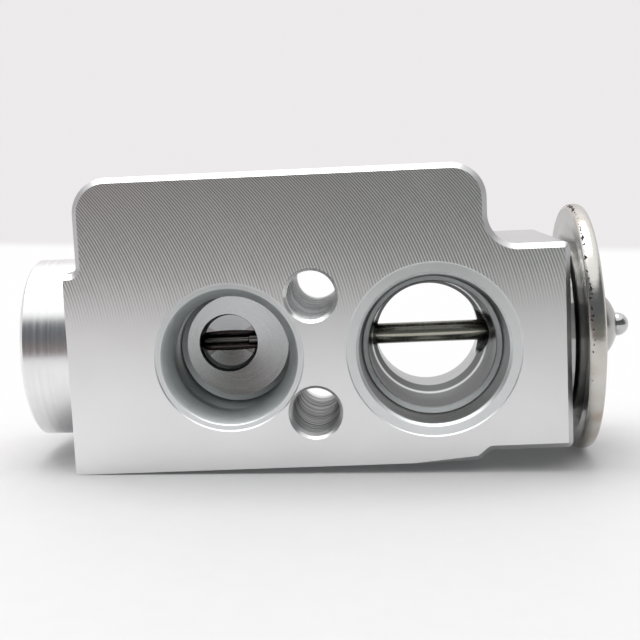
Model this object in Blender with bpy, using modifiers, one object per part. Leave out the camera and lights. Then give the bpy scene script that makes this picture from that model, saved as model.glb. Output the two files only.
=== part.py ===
"""A block-type thermostatic expansion valve for a vehicle air conditioner, lying on its keel.

Metres, +Z up. Everything hangs from one empty on the valve axis, at the block's foot face. In that
frame +X runs along the valve axis towards the power head, -Y is the evaporator side and z is zero
on the axis. The empty is placed so that the model's bounding box stands centred on the origin.
"""

import math

import bmesh
import bpy
from mathutils import Matrix, Vector

MM = 0.001

# Clearances: between pieces that slide, between pieces that are seated, and how far cutters overrun
SLIDE = 0.15 * MM
SEAT = 0.10 * MM
OVERRUN = 1.0 * MM

# Aluminium block: an extruded profile, machined all over
BLOCK_LENGTH = 61.1 * MM
BLOCK_DEPTH = 28.0 * MM
RIDGE_HEIGHT = 22.05 * MM
KEEL_DEPTH = 14.15 * MM
RIDGE_START = 1.6 * MM
RIDGE_SETBACK = 9.7 * MM
FOOT_SHELF_HEIGHT = 10.65 * MM
HEAD_SHELF_HEIGHT = 12.1 * MM
HEAD_KEEL_DEPTH = 12.95 * MM
NOTCH_LENGTH = 9.9 * MM
NOTCH_RUN = 1.5 * MM
EDGE_CHAMFER = 0.65 * MM
RIDGE_FILLET = 4.3 * MM
HEAD_STEP_FILLET = 3.7 * MM
FOOT_STEP_FILLET = 0.8 * MM
END_CORNER = 0.7 * MM
BOSS_DIAMETER = 23.2 * MM
BOSS_LENGTH = 6.7 * MM
BOSS_CHAMFER = 0.4 * MM

# Ports: the port centres lie a little under the valve axis
PORT_DROP = 0.25 * MM
OUTLET_X = 19.7 * MM
PORT_SPACING = 24.9 * MM
INLET_X = 8.8 * MM
SPOTFACE_DEPTH = 0.15 * MM
LIP_CHAMFER = 0.3 * MM

# Evaporator-side outlet port, blind, with an eccentric pocket in its floor
OUTLET_SPOTFACE = 18.3 * MM
OUTLET_MOUTH = 16.86 * MM
OUTLET_BORE = 14.4 * MM
OUTLET_GLAND_DEPTH = 3.0 * MM
OUTLET_DEPTH = 10.5 * MM
OUTLET_FLOOR_BEVEL = 0.6 * MM
POCKET_DIAMETER = 7.62 * MM
POCKET_OFFSET = 1.25 * MM
POCKET_DEPTH = 2.6 * MM
POCKET_FLOOR_BEVEL = 0.4 * MM

# Suction passage, through the block
SUCTION_SPOTFACE = 21.4 * MM
SUCTION_MOUTH = 18.36 * MM
SUCTION_GLAND = 17.1 * MM
SUCTION_GLAND_DEPTH = 3.9 * MM
SUCTION_BORE = 15.8 * MM
SUCTION_SHOULDER_DEPTH = 10.2 * MM
SUCTION_THROAT = 13.74 * MM
SUCTION_THROAT_DEPTH = 12.5 * MM
LINE_SUCTION_MOUTH = 17.2 * MM
LINE_SUCTION_GLAND = 16.2 * MM
LINE_GLAND_DEPTH = 2.6 * MM
LINE_SUCTION_DEPTH = 8.5 * MM

# Liquid inlet port, on the line side, blind
INLET_SPOTFACE = 15.8 * MM
INLET_MOUTH = 14.2 * MM
INLET_BORE = 12.6 * MM
INLET_GLAND_DEPTH = 2.4 * MM
INLET_DEPTH = 6.8 * MM
INLET_PASSAGE = 5.6 * MM
INLET_PASSAGE_SHIFT = 2.1 * MM

# Two M6 through holes between the ports
MOUNT_X = 29.95 * MM
MOUNT_SPACING = 14.35 * MM
MOUNT_DIAMETER = 6.0 * MM
MOUNT_COUNTERSINK = 0.35 * MM
MOUNT_RELIEF = 7.4 * MM
MOUNT_RELIEF_DEPTH = 2.6 * MM

# Valve chamber, seat and orifice, in a bore from the foot
SCREW_BORE = 13.0 * MM
SCREW_BORE_DEPTH = 3.2 * MM
CHAMBER_BORE = 10.4 * MM
CHAMBER_CONE = 0.8 * MM
SEAT_X = 9.6 * MM
SEAT_MOUTH = 4.4 * MM
ORIFICE = 3.0 * MM

# Ball, carrier, damper and spring
BALL_DIAMETER = 4.4 * MM
CARRIER_FLANGE = 8.8 * MM
CARRIER_FLANGE_THICKNESS = 1.0 * MM
CARRIER_NOSE = 5.6 * MM
CARRIER_NOSE_LENGTH = 1.1 * MM
CARRIER_REACH = 1.35 * MM
CUP_SHARE = 0.32
CUP_FLOOR_SHARE = 0.15
CARRIER_STEM = 4.0 * MM
CARRIER_STEM_LENGTH = 1.3 * MM
DAMPER_THICKNESS = 0.25 * MM
DAMPER_RING_WIDTH = 0.9 * MM
DAMPER_ARMS = 3
DAMPER_POINTS = 36
SPRING_WIRE = 0.9 * MM
SPRING_DIAMETER = 6.5 * MM
SPRING_TURNS = 4.75
SPRING_END_TURNS = 0.9
SPRING_POINTS_PER_TURN = 12

# Adjusting screw with a hexagon socket, and its O-ring
SCREW_LENGTH = 8.5 * MM
SCREW_SINK = 0.55 * MM
SCREW_CUP_DIAMETER = 8.6 * MM
SCREW_WEB = 1.4 * MM
SOCKET_FLATS = 7.0 * MM
SOCKET_DEPTH = 3.4 * MM
SCREW_CHAMFER = 0.5 * MM
GROOVE_SETBACK = 0.7 * MM
RING_SECTION = 1.2 * MM

# Push pin and sensing rod, on the valve axis
PIN_TIP_DIAMETER = 1.15 * MM
PIN_DIAMETER = 1.7 * MM
PIN_STEP_X = 20.8 * MM
ROD_DIAMETER = 2.7 * MM
ROD_HOLE = 3.5 * MM
HEAD_OPENING = 6.6 * MM
ROD_START_X = 36.0 * MM
SEAL_RECESS_X = 33.0 * MM
SEAL_LENGTH = 0.8 * MM
RETAINER_LENGTH = 0.9 * MM
STROKE = 0.8 * MM

# Power head: threaded neck, two stamped covers, diaphragm, pad, weld and charging ball
NECK_BORE_DEPTH = 6.5 * MM
NECK_DIAMETER = 17.6 * MM
NECK_SKIRT_BORE = 12.0 * MM
NECK_GUIDE_LENGTH = 2.2 * MM
NECK_FLANGE = 22.4 * MM
NECK_FLANGE_THICKNESS = 0.7 * MM
NECK_COLLAR = 18.6 * MM
NECK_COLLAR_WALL = 0.4 * MM
GASKET_GROOVE_DEPTH = 1.35 * MM
GASKET_SECTION = 1.15 * MM
HEAD_GAP = 1.75 * MM
HEAD_DIAMETER = 32.0 * MM
RIM_THICKNESS = 2.05 * MM
RIM_WELD_WIDTH = 0.75 * MM
RIM_WELD_PIECES = 6
COVER_SHEET = 0.8 * MM
FLANGE_WIDTH = 1.7 * MM
LOWER_FLAT_WIDTH = 1.0 * MM
LOWER_DISH = 0.7 * MM
UPPER_DISH = 0.6 * MM
UPPER_DISH_RUN = 0.8 * MM
DOME_BASE = 9.4 * MM
DOME_FACE = 3.9 * MM
DOME_HEIGHT = 3.4 * MM
DOME_BULGE_SHARE = 0.2
DOME_PIECES = 6
CHARGE_BALL_DIAMETER = 3.05 * MM
CHARGE_BALL_STANDOFF = 1.9 * MM
DIAPHRAGM_THICKNESS = 0.2 * MM
DIAPHRAGM_WAVE = 0.18 * MM
DIAPHRAGM_POINTS = 8
DIAPHRAGM_WAVES = 2
PAD_MARGIN = 0.5 * MM
PAD_THICKNESS = 1.0 * MM
PAD_STEM = 7.8 * MM
PAD_STEM_LENGTH = 4.2 * MM
PAD_SOCKET_DEPTH = 2.1 * MM

# Facets round a circle, by size
FINE = 48
MEDIUM = 32
COARSE = 20
BALL_RINGS = 8
RING_SIDES = 6

# Stations along the valve axis that follow from the sizes
SUCTION_X = OUTLET_X + PORT_SPACING
POCKET_X = OUTLET_X - POCKET_OFFSET
SEAT_CONE_END = SEAT_X + (SEAT_MOUTH - ORIFICE) / 2
BALL_X = SEAT_X + SEAT_MOUTH / 2 - BALL_DIAMETER / 2 * math.sqrt(2) - SEAT * math.sqrt(2)
CARRIER_FACE_X = BALL_X - BALL_DIAMETER / 2 + CARRIER_REACH
CARRIER_FLANGE_X = CARRIER_FACE_X - CARRIER_NOSE_LENGTH
CARRIER_BACK_X = CARRIER_FLANGE_X - CARRIER_FLANGE_THICKNESS
SCREW_START_X = SCREW_SINK - BOSS_LENGTH
SCREW_END_X = SCREW_START_X + SCREW_LENGTH
SOCKET_FLOOR_X = SCREW_START_X + SOCKET_DEPTH
SCREW_CUP_X = SOCKET_FLOOR_X + SCREW_WEB
PIN_END_X = ROD_START_X - SEAT
NECK_START_X = BLOCK_LENGTH - NECK_BORE_DEPTH + SEAT
FLANGE_X = BLOCK_LENGTH + SLIDE
RIM_X = BLOCK_LENGTH + HEAD_GAP
RIM_END_X = RIM_X + RIM_THICKNESS
DIAPHRAGM_X = RIM_X + COVER_SHEET + SEAT
COVER_X = DIAPHRAGM_X + DIAPHRAGM_THICKNESS + SEAT
PAD_X = DIAPHRAGM_X - SEAT - PAD_THICKNESS
PAD_DIAMETER = NECK_COLLAR - 2 * (NECK_COLLAR_WALL + PAD_MARGIN)
PAD_STEM_X = PAD_X - PAD_STEM_LENGTH
ROD_END_X = PAD_STEM_X + PAD_SOCKET_DEPTH - SEAT
DOME_X = RIM_END_X + UPPER_DISH
DOME_END_X = DOME_X + DOME_HEIGHT
CHARGE_BALL_X = DOME_END_X + CHARGE_BALL_STANDOFF - CHARGE_BALL_DIAMETER / 2
HEAD_END_X = DOME_END_X + CHARGE_BALL_STANDOFF


def clear_scene():
    """Starts from an empty scene."""
    for found in list(bpy.data.objects):
        bpy.data.objects.remove(found, do_unlink=True)


def collection(name):
    """A collection in the scene that holds the parts or the cutters."""
    made = bpy.data.collections.new(name)
    bpy.context.scene.collection.children.link(made)
    return made


def finish_of(name, colour, roughness, metallic):
    """A plain Principled material."""
    made = bpy.data.materials.new(name)
    made.use_nodes = True
    shader = made.node_tree.nodes["Principled BSDF"]
    shader.inputs["Base Color"].default_value = (*colour, 1.0)
    shader.inputs["Roughness"].default_value = roughness
    shader.inputs["Metallic"].default_value = metallic
    return made


clear_scene()
PARTS = collection("expansion_valve")
CUTTERS = collection("cutters")

ALUMINIUM = finish_of("machined_aluminium", (0.78, 0.79, 0.80), 0.28, 1.0)
STAINLESS = finish_of("stamped_stainless", (0.66, 0.65, 0.62), 0.22, 1.0)
WELD = finish_of("weld_stainless", (0.60, 0.58, 0.54), 0.30, 1.0)
ROD_STEEL = finish_of("rod_steel", (0.34, 0.33, 0.29), 0.22, 1.0)
BRIGHT_STEEL = finish_of("bright_steel", (0.74, 0.74, 0.75), 0.12, 1.0)
SPRING_STEEL = finish_of("spring_steel", (0.45, 0.45, 0.46), 0.30, 1.0)
BRASS = finish_of("turned_brass", (0.80, 0.62, 0.32), 0.28, 1.0)
RUBBER = finish_of("black_rubber", (0.02, 0.02, 0.02), 0.60, 0.0)

AXIS = bpy.data.objects.new("valve_axis", None)
PARTS.objects.link(AXIS)
AXIS.location = ((BOSS_LENGTH - HEAD_END_X) / 2, 0, max(HEAD_DIAMETER / 2, KEEL_DEPTH))

# Turns of a profile's own Z axis onto the valve axis, and onto the two port directions
ALONG_VALVE = (0, math.pi / 2, 0)
INTO_FRONT = (-math.pi / 2, 0, 0)
INTO_BACK = (math.pi / 2, 0, 0)


def place(piece, home, material=None, location=(0, 0, 0), turn=(0, 0, 0)):
    """Puts an object in its collection and hangs it from the valve axis."""
    home.objects.link(piece)
    piece.parent = AXIS
    piece.location = location
    piece.rotation_euler = turn
    if material:
        piece.data.materials.append(material)
    if home is CUTTERS:
        piece.hide_render = True
        piece.display_type = "WIRE"
    return piece


def spun(name, profile, steps, home, material=None, location=(0, 0, 0), turn=ALONG_VALVE, ring=False):
    """A turned solid. The profile is (station, radius) pairs, from low to high station on the outside.

    It starts and ends on the axis, or closes on itself where ring is set.
    """
    mesh = bpy.data.meshes.new(name)
    points = [(radius, 0, station) for station, radius in reversed(profile)]
    edges = [(i, i + 1) for i in range(len(points) - 1)]
    if ring:
        edges.append((len(points) - 1, 0))
    mesh.from_pydata(points, edges, [])
    piece = place(bpy.data.objects.new(name, mesh), home, material, location, turn)
    screw = piece.modifiers.new("turned", "SCREW")
    screw.axis = "Z"
    screw.steps = screw.render_steps = steps
    screw.use_merge_vertices = True
    screw.merge_threshold = 1e-6
    screw.use_smooth_shade = False
    return piece


def torus_profile(station, radius, section):
    """The closed round profile of an O-ring, anticlockwise so that its faces point out."""
    turns = [2 * math.pi * i / RING_SIDES for i in range(RING_SIDES)]
    return [(station + section / 2 * math.sin(t), radius + section / 2 * math.cos(t)) for t in turns]


def rounded(corners):
    """An outline's points: each corner is (x, y, radius, pieces), rounded by an arc of that many pieces."""
    made = []
    for i, (x, y, radius, pieces) in enumerate(corners):
        here = Vector((x, y))
        before = (Vector(corners[i - 1][:2]) - here).normalized()
        after = (Vector(corners[(i + 1) % len(corners)][:2]) - here).normalized()
        if radius <= 0:
            made.append(here)
            continue
        half = before.angle(after) / 2
        reach = radius / math.tan(half)
        centre = here + (before + after).normalized() * radius / math.sin(half)
        first = here + before * reach - centre
        last = here + after * reach - centre
        sweep = first.angle_signed(last)
        made += [centre + Matrix.Rotation(-sweep * k / pieces, 2) @ first for k in range(pieces + 1)]
    return made


def meshed(curve_object):
    """A closed mesh in place of a curve object, under the same name."""
    name = curve_object.name
    seen = curve_object.evaluated_get(bpy.context.evaluated_depsgraph_get())
    mesh = bpy.data.meshes.new_from_object(seen)
    bpy.data.objects.remove(curve_object, do_unlink=True)
    work = bmesh.new()
    work.from_mesh(mesh)
    bmesh.ops.remove_doubles(work, verts=work.verts, dist=1e-7)
    bmesh.ops.recalc_face_normals(work, faces=work.faces)
    work.to_mesh(mesh)
    work.free()
    return bpy.data.objects.new(name, mesh)


def combine(piece, other, operation):
    """Joins another object to a piece, or cuts it out of it."""
    boolean = piece.modifiers.new(other.name, "BOOLEAN")
    boolean.operation = operation
    boolean.solver = "EXACT"
    boolean.object = other


def from_faces(depth):
    """The Y place of a depth measured into the block from its evaporator face."""
    return depth - BLOCK_DEPTH / 2


def block_blank():
    """The extruded profile, longer than the block at the foot, with both faces' edges chamfered."""
    ridge_end = BLOCK_LENGTH - RIDGE_SETBACK
    notch_start = BLOCK_LENGTH - NOTCH_LENGTH
    outline = rounded([
        (-OVERRUN * 2, -KEEL_DEPTH, 0, 0),
        (notch_start - NOTCH_RUN, -KEEL_DEPTH, END_CORNER, 2),
        (notch_start, -HEAD_KEEL_DEPTH, END_CORNER, 3),
        (BLOCK_LENGTH, -HEAD_KEEL_DEPTH, END_CORNER, 1),
        (BLOCK_LENGTH, HEAD_SHELF_HEIGHT, END_CORNER, 2),
        (ridge_end, HEAD_SHELF_HEIGHT, HEAD_STEP_FILLET, 9),
        (ridge_end, RIDGE_HEIGHT, RIDGE_FILLET, 9),
        (RIDGE_START, RIDGE_HEIGHT, RIDGE_FILLET, 9),
        (RIDGE_START, FOOT_SHELF_HEIGHT, FOOT_STEP_FILLET, 5),
        (-OVERRUN * 2, FOOT_SHELF_HEIGHT, 0, 0),
    ])
    work = bmesh.new()
    front = [work.verts.new((x, -BLOCK_DEPTH / 2, z)) for x, z in outline]
    back = [work.verts.new((x, BLOCK_DEPTH / 2, z)) for x, z in outline]
    work.faces.new(front)
    work.faces.new(reversed(back))
    count = len(outline)
    chamfered = []
    for i in range(count):
        after = (i + 1) % count
        work.faces.new((front[after], front[i], back[i], back[after]))
        if 0 < i < count - 1:
            chamfered.append(work.edges.get((front[i], front[after])))
            chamfered.append(work.edges.get((back[i], back[after])))
    bmesh.ops.recalc_face_normals(work, faces=work.faces)
    bmesh.ops.bevel(work, geom=chamfered, offset=EDGE_CHAMFER, segments=1, affect="EDGES")
    mesh = bpy.data.meshes.new("valve_body")
    work.to_mesh(mesh)
    work.free()
    return bpy.data.objects.new("valve_body", mesh)


def foot_facing():
    """The cut that squares the foot face."""
    bpy.ops.mesh.primitive_cube_add(size=1)
    cutter = bpy.context.object
    cutter.name = "foot_facing"
    cutter.users_collection[0].objects.unlink(cutter)
    reach = 4 * OVERRUN
    cutter.data.transform(Matrix.Diagonal((reach, 2 * BLOCK_DEPTH, 4 * RIDGE_HEIGHT, 1)))
    return place(cutter, CUTTERS, location=(-reach / 2, 0, 0))


def boss():
    """The turned boss round the adjusting screw, tangent to the foot shelf."""
    radius = BOSS_DIAMETER / 2
    profile = [
        (-BOSS_LENGTH, 0),
        (-BOSS_LENGTH, radius - BOSS_CHAMFER),
        (-BOSS_LENGTH + BOSS_CHAMFER, radius),
        (RIDGE_START + OVERRUN, radius),
        (RIDGE_START + OVERRUN, 0),
    ]
    return spun("boss_blank", profile, FINE, CUTTERS)


def gland(spotface, mouth, bore, gland_depth):
    """The start of a port's profile: spot face, bright lip chamfer and the conical O-ring gland."""
    return [
        (-OVERRUN, 0),
        (-OVERRUN, spotface / 2),
        (SPOTFACE_DEPTH, spotface / 2),
        (SPOTFACE_DEPTH, mouth / 2 + LIP_CHAMFER),
        (SPOTFACE_DEPTH + LIP_CHAMFER, mouth / 2),
        (gland_depth, bore / 2),
    ]


def outlet_port():
    """The blind outlet port to the evaporator."""
    profile = gland(OUTLET_SPOTFACE, OUTLET_MOUTH, OUTLET_BORE, OUTLET_GLAND_DEPTH)
    profile += [
        (OUTLET_DEPTH - OUTLET_FLOOR_BEVEL, OUTLET_BORE / 2),
        (OUTLET_DEPTH, OUTLET_BORE / 2 - OUTLET_FLOOR_BEVEL),
        (OUTLET_DEPTH, 0),
    ]
    at = (OUTLET_X, from_faces(0), -PORT_DROP)
    return spun("outlet_port", profile, FINE, CUTTERS, location=at, turn=INTO_FRONT)


def outlet_pocket():
    """The eccentric pocket that opens the outlet port's floor onto the orifice."""
    end = OUTLET_DEPTH + POCKET_DEPTH
    profile = [
        (OUTLET_DEPTH - OVERRUN, 0),
        (OUTLET_DEPTH - OVERRUN, POCKET_DIAMETER / 2),
        (end - POCKET_FLOOR_BEVEL, POCKET_DIAMETER / 2),
        (end, POCKET_DIAMETER / 2 - POCKET_FLOOR_BEVEL),
        (end, 0),
    ]
    at = (POCKET_X, from_faces(0), 0)
    return spun("outlet_pocket", profile, MEDIUM, CUTTERS, location=at, turn=INTO_FRONT)


def suction_passage():
    """The passage from the evaporator, straight through the block, with a gland at each end."""
    throat = SUCTION_THROAT / 2
    step = (SUCTION_GLAND - SUCTION_BORE) / 2
    line_end = BLOCK_DEPTH - SPOTFACE_DEPTH
    line_start = BLOCK_DEPTH - LINE_SUCTION_DEPTH
    profile = gland(SUCTION_SPOTFACE, SUCTION_MOUTH, SUCTION_GLAND, SUCTION_GLAND_DEPTH)
    profile += [
        (SUCTION_GLAND_DEPTH + step, SUCTION_BORE / 2),
        (SUCTION_SHOULDER_DEPTH, SUCTION_BORE / 2),
        (SUCTION_THROAT_DEPTH, throat),
        (line_start, throat),
        (line_start, LINE_SUCTION_GLAND / 2),
        (BLOCK_DEPTH - LINE_GLAND_DEPTH, LINE_SUCTION_GLAND / 2),
        (line_end - LIP_CHAMFER, LINE_SUCTION_MOUTH / 2),
        (line_end, LINE_SUCTION_MOUTH / 2 + LIP_CHAMFER),
        (line_end, SUCTION_SPOTFACE / 2),
        (BLOCK_DEPTH + OVERRUN, SUCTION_SPOTFACE / 2),
        (BLOCK_DEPTH + OVERRUN, 0),
    ]
    at = (SUCTION_X, from_faces(0), -PORT_DROP)
    return spun("suction_passage", profile, FINE, CUTTERS, location=at, turn=INTO_FRONT)


def inlet_port():
    """The liquid inlet port on the line side."""
    profile = gland(INLET_SPOTFACE, INLET_MOUTH, INLET_BORE, INLET_GLAND_DEPTH)
    profile += [(INLET_DEPTH, INLET_BORE / 2), (INLET_DEPTH, 0)]
    at = (INLET_X, BLOCK_DEPTH / 2, -PORT_DROP)
    return spun("inlet_port", profile, MEDIUM, CUTTERS, location=at, turn=INTO_BACK)


def inlet_passage():
    """The drilling from the inlet port's floor into the valve chamber."""
    profile = [
        (INLET_DEPTH - OVERRUN, 0),
        (INLET_DEPTH - OVERRUN, INLET_PASSAGE / 2),
        (BLOCK_DEPTH / 2 - CHAMBER_BORE / 4, INLET_PASSAGE / 2),
        (BLOCK_DEPTH / 2 - CHAMBER_BORE / 4, 0),
    ]
    at = (INLET_X - INLET_PASSAGE_SHIFT, BLOCK_DEPTH / 2, 0)
    return spun("inlet_passage", profile, COARSE, CUTTERS, location=at, turn=INTO_BACK)


def mount_hole(name, side):
    """One of the two M6 through holes, countersunk in front and relieved at the back."""
    radius = MOUNT_DIAMETER / 2
    wide = radius + MOUNT_COUNTERSINK
    profile = [
        (-OVERRUN, 0),
        (-OVERRUN, wide),
        (0, wide),
        (MOUNT_COUNTERSINK, radius),
        (BLOCK_DEPTH - MOUNT_RELIEF_DEPTH, radius),
        (BLOCK_DEPTH - MOUNT_RELIEF_DEPTH, MOUNT_RELIEF / 2),
        (BLOCK_DEPTH + OVERRUN, MOUNT_RELIEF / 2),
        (BLOCK_DEPTH + OVERRUN, 0),
    ]
    at = (MOUNT_X, from_faces(0), side * MOUNT_SPACING / 2 - PORT_DROP)
    return spun(name, profile, MEDIUM, CUTTERS, location=at, turn=INTO_FRONT)


def foot_bore():
    """Screw thread bore, valve chamber, seat cone and orifice, bored from the foot."""
    mouth = SCREW_BORE / 2 + BOSS_CHAMFER
    profile = [
        (-BOSS_LENGTH - OVERRUN, 0),
        (-BOSS_LENGTH - OVERRUN, mouth),
        (-BOSS_LENGTH, mouth),
        (-BOSS_LENGTH + BOSS_CHAMFER, SCREW_BORE / 2),
        (SCREW_BORE_DEPTH, SCREW_BORE / 2),
        (SCREW_BORE_DEPTH + CHAMBER_CONE, CHAMBER_BORE / 2),
        (SEAT_X, CHAMBER_BORE / 2),
        (SEAT_X, SEAT_MOUTH / 2),
        (SEAT_CONE_END, ORIFICE / 2),
        (POCKET_X + POCKET_DIAMETER / 2 + SPRING_WIRE, ORIFICE / 2),
        (POCKET_X + POCKET_DIAMETER / 2 + SPRING_WIRE, 0),
    ]
    return spun("foot_bore", profile, MEDIUM, CUTTERS)


def rod_bore():
    """Pin guide and seal recess, and beyond the suction passage the rod's hole to the head."""
    guide = PIN_DIAMETER / 2 + SLIDE
    start = POCKET_X + POCKET_DIAMETER / 4
    end = BLOCK_LENGTH - NECK_BORE_DEPTH + OVERRUN
    profile = [
        (start, 0),
        (start, guide),
        (SEAL_RECESS_X, guide),
        (SEAL_RECESS_X, ROD_HOLE / 2),
        (SUCTION_X, ROD_HOLE / 2),
        (SUCTION_X, HEAD_OPENING / 2),
        (end, HEAD_OPENING / 2),
        (end, 0),
    ]
    return spun("rod_bore", profile, COARSE, CUTTERS)


def head_bore():
    """The bore for the head's threaded neck, with the gasket's groove at its mouth."""
    bore = NECK_DIAMETER / 2 + SLIDE
    groove = bore + GASKET_SECTION + 2 * SEAT
    start = BLOCK_LENGTH - NECK_BORE_DEPTH
    profile = [
        (start, 0),
        (start, bore),
        (BLOCK_LENGTH - GASKET_GROOVE_DEPTH, bore),
        (BLOCK_LENGTH - GASKET_GROOVE_DEPTH, groove),
        (BLOCK_LENGTH + OVERRUN, groove),
        (BLOCK_LENGTH + OVERRUN, 0),
    ]
    return spun("head_bore", profile, FINE, CUTTERS)


def valve_body():
    """The block: an extruded blank, faced, joined to its turned boss, and bored."""
    body = place(block_blank(), PARTS, ALUMINIUM)
    combine(body, foot_facing(), "DIFFERENCE")
    combine(body, boss(), "UNION")
    cuts = [
        outlet_port(),
        outlet_pocket(),
        suction_passage(),
        inlet_port(),
        inlet_passage(),
        mount_hole("upper_mount_hole", 1),
        mount_hole("lower_mount_hole", -1),
        foot_bore(),
        rod_bore(),
        head_bore(),
    ]
    for cut in cuts:
        combine(body, cut, "DIFFERENCE")
    return body


def adjusting_screw():
    """The hollow screw that preloads the spring: socket outside, spring cup inside, O-ring groove."""
    radius = SCREW_BORE / 2 - SLIDE
    groove_end = SCREW_END_X - GROOVE_SETBACK
    groove_start = groove_end - RING_SECTION - 2 * SEAT
    groove = radius - RING_SECTION
    cup = SCREW_CUP_DIAMETER / 2
    profile = [
        (SCREW_START_X, 0),
        (SCREW_START_X, radius - SCREW_CHAMFER),
        (SCREW_START_X + SCREW_CHAMFER, radius),
        (groove_start, radius),
        (groove_start, groove),
        (groove_end, groove),
        (groove_end, radius),
        (SCREW_END_X, radius),
        (SCREW_END_X, cup),
        (SCREW_CUP_X, cup),
        (SCREW_CUP_X, 0),
    ]
    screw = spun("adjusting_screw", profile, MEDIUM, PARTS, BRASS)
    bpy.ops.mesh.primitive_cylinder_add(
        vertices=6, radius=SOCKET_FLATS / math.sqrt(3), depth=SOCKET_DEPTH + OVERRUN
    )
    socket = bpy.context.object
    socket.name = "hexagon_socket"
    socket.users_collection[0].objects.unlink(socket)
    at = (SOCKET_FLOOR_X - (SOCKET_DEPTH + OVERRUN) / 2, 0, 0)
    place(socket, CUTTERS, location=at, turn=ALONG_VALVE)
    combine(screw, socket, "DIFFERENCE")
    middle = (groove_start + groove_end) / 2
    ring_radius = radius - RING_SECTION / 2 + SEAT / 2
    ring = torus_profile(middle, ring_radius, RING_SECTION - SEAT)
    spun("screw_o_ring", ring, MEDIUM, PARTS, RUBBER, ring=True)


def valve_spring():
    """The closed-end coil spring between the screw's cup and the ball carrier."""
    wire = SPRING_WIRE
    start = SCREW_CUP_X + SEAT + wire / 2
    end = CARRIER_BACK_X - SEAT - wire / 2
    closed_rise = SPRING_END_TURNS * (wire + SEAT)
    open_turns = SPRING_TURNS - 2 * SPRING_END_TURNS
    open_rise = end - start - 2 * closed_rise
    count = round(SPRING_TURNS * SPRING_POINTS_PER_TURN)
    curve = bpy.data.curves.new("valve_spring", "CURVE")
    curve.dimensions = "3D"
    curve.bevel_depth = wire / 2
    curve.bevel_resolution = 2
    curve.use_fill_caps = True
    spline = curve.splines.new("POLY")
    spline.points.add(count)
    for i, point in enumerate(spline.points):
        turn = i / SPRING_POINTS_PER_TURN
        into_open = min(max(turn - SPRING_END_TURNS, 0), open_turns)
        closed = turn - into_open
        rise = closed * closed_rise / SPRING_END_TURNS + open_rise * into_open / open_turns
        angle = 2 * math.pi * turn
        radius = SPRING_DIAMETER / 2
        point.co = (start + rise, radius * math.cos(angle), radius * math.sin(angle), 1)
    place(bpy.data.objects.new("valve_spring", curve), PARTS, SPRING_STEEL)


def ball_carrier():
    """The turned carrier that centres the ball on the spring."""
    nose = CARRIER_NOSE / 2
    ball_back = BALL_X - BALL_DIAMETER / 2
    profile = [
        (CARRIER_BACK_X - CARRIER_STEM_LENGTH, 0),
        (CARRIER_BACK_X - CARRIER_STEM_LENGTH, CARRIER_STEM / 2),
        (CARRIER_BACK_X, CARRIER_STEM / 2),
        (CARRIER_BACK_X, CARRIER_FLANGE / 2),
        (CARRIER_FLANGE_X, CARRIER_FLANGE / 2),
        (CARRIER_FLANGE_X, nose),
        (CARRIER_FACE_X, nose),
        (CARRIER_FACE_X, BALL_DIAMETER / 2 + SEAT),
        (CARRIER_FLANGE_X, BALL_DIAMETER * CUP_SHARE),
        (ball_back - SLIDE, BALL_DIAMETER * CUP_FLOOR_SHARE),
        (ball_back - SLIDE, 0),
    ]
    spun("ball_carrier", profile, COARSE, PARTS, BRIGHT_STEEL)


def damping_washer():
    """The star washer on the carrier, whose arms rub on the chamber wall and stop it buzzing."""
    inner = CARRIER_NOSE / 2 + SEAT
    ring = inner + DAMPER_RING_WIDTH
    tip = CHAMBER_BORE / 2 - SEAT
    turns = [2 * math.pi * i / COARSE for i in range(COARSE)]
    bore = [(inner * math.cos(t), inner * math.sin(t)) for t in turns]
    star = []
    for i in range(DAMPER_POINTS):
        turn = 2 * math.pi * i / DAMPER_POINTS
        arm = math.cos(DAMPER_ARMS * turn)
        reach = ring + (tip - ring) * max(arm, 0) ** 2
        star.append((reach * math.cos(turn), reach * math.sin(turn)))
    curve = bpy.data.curves.new("damping_washer", "CURVE")
    curve.dimensions = "2D"
    curve.fill_mode = "BOTH"
    curve.extrude = DAMPER_THICKNESS / 2
    for outline in (star, bore):
        spline = curve.splines.new("POLY")
        spline.points.add(len(outline) - 1)
        for point, (x, y) in zip(spline.points, outline):
            point.co = (x, y, 0, 1)
        spline.use_cyclic_u = True
    flat = bpy.data.objects.new("damping_washer", curve)
    bpy.context.scene.collection.objects.link(flat)
    washer = meshed(flat)
    at = (CARRIER_FLANGE_X + SEAT + DAMPER_THICKNESS / 2, 0, 0)
    place(washer, PARTS, SPRING_STEEL, location=at, turn=ALONG_VALVE)


def ball(name, diameter, station, material):
    """A steel ball on the valve axis."""
    mesh = bpy.data.meshes.new(name)
    work = bmesh.new()
    bmesh.ops.create_uvsphere(work, u_segments=BALL_RINGS * 2, v_segments=BALL_RINGS, radius=diameter / 2)
    work.to_mesh(mesh)
    work.free()
    place(bpy.data.objects.new(name, mesh), PARTS, material, (station, 0, 0), ALONG_VALVE)


def push_pin():
    """The stepped pin that passes the orifice and lifts the ball off its seat."""
    tip = PIN_TIP_DIAMETER / 2
    start = BALL_X + BALL_DIAMETER / 2 + SEAT
    profile = [
        (start, 0),
        (start, tip),
        (PIN_STEP_X, tip),
        (PIN_STEP_X, PIN_DIAMETER / 2),
        (PIN_END_X, PIN_DIAMETER / 2),
        (PIN_END_X, 0),
    ]
    spun("push_pin", profile, COARSE, PARTS, ROD_STEEL)


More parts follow.
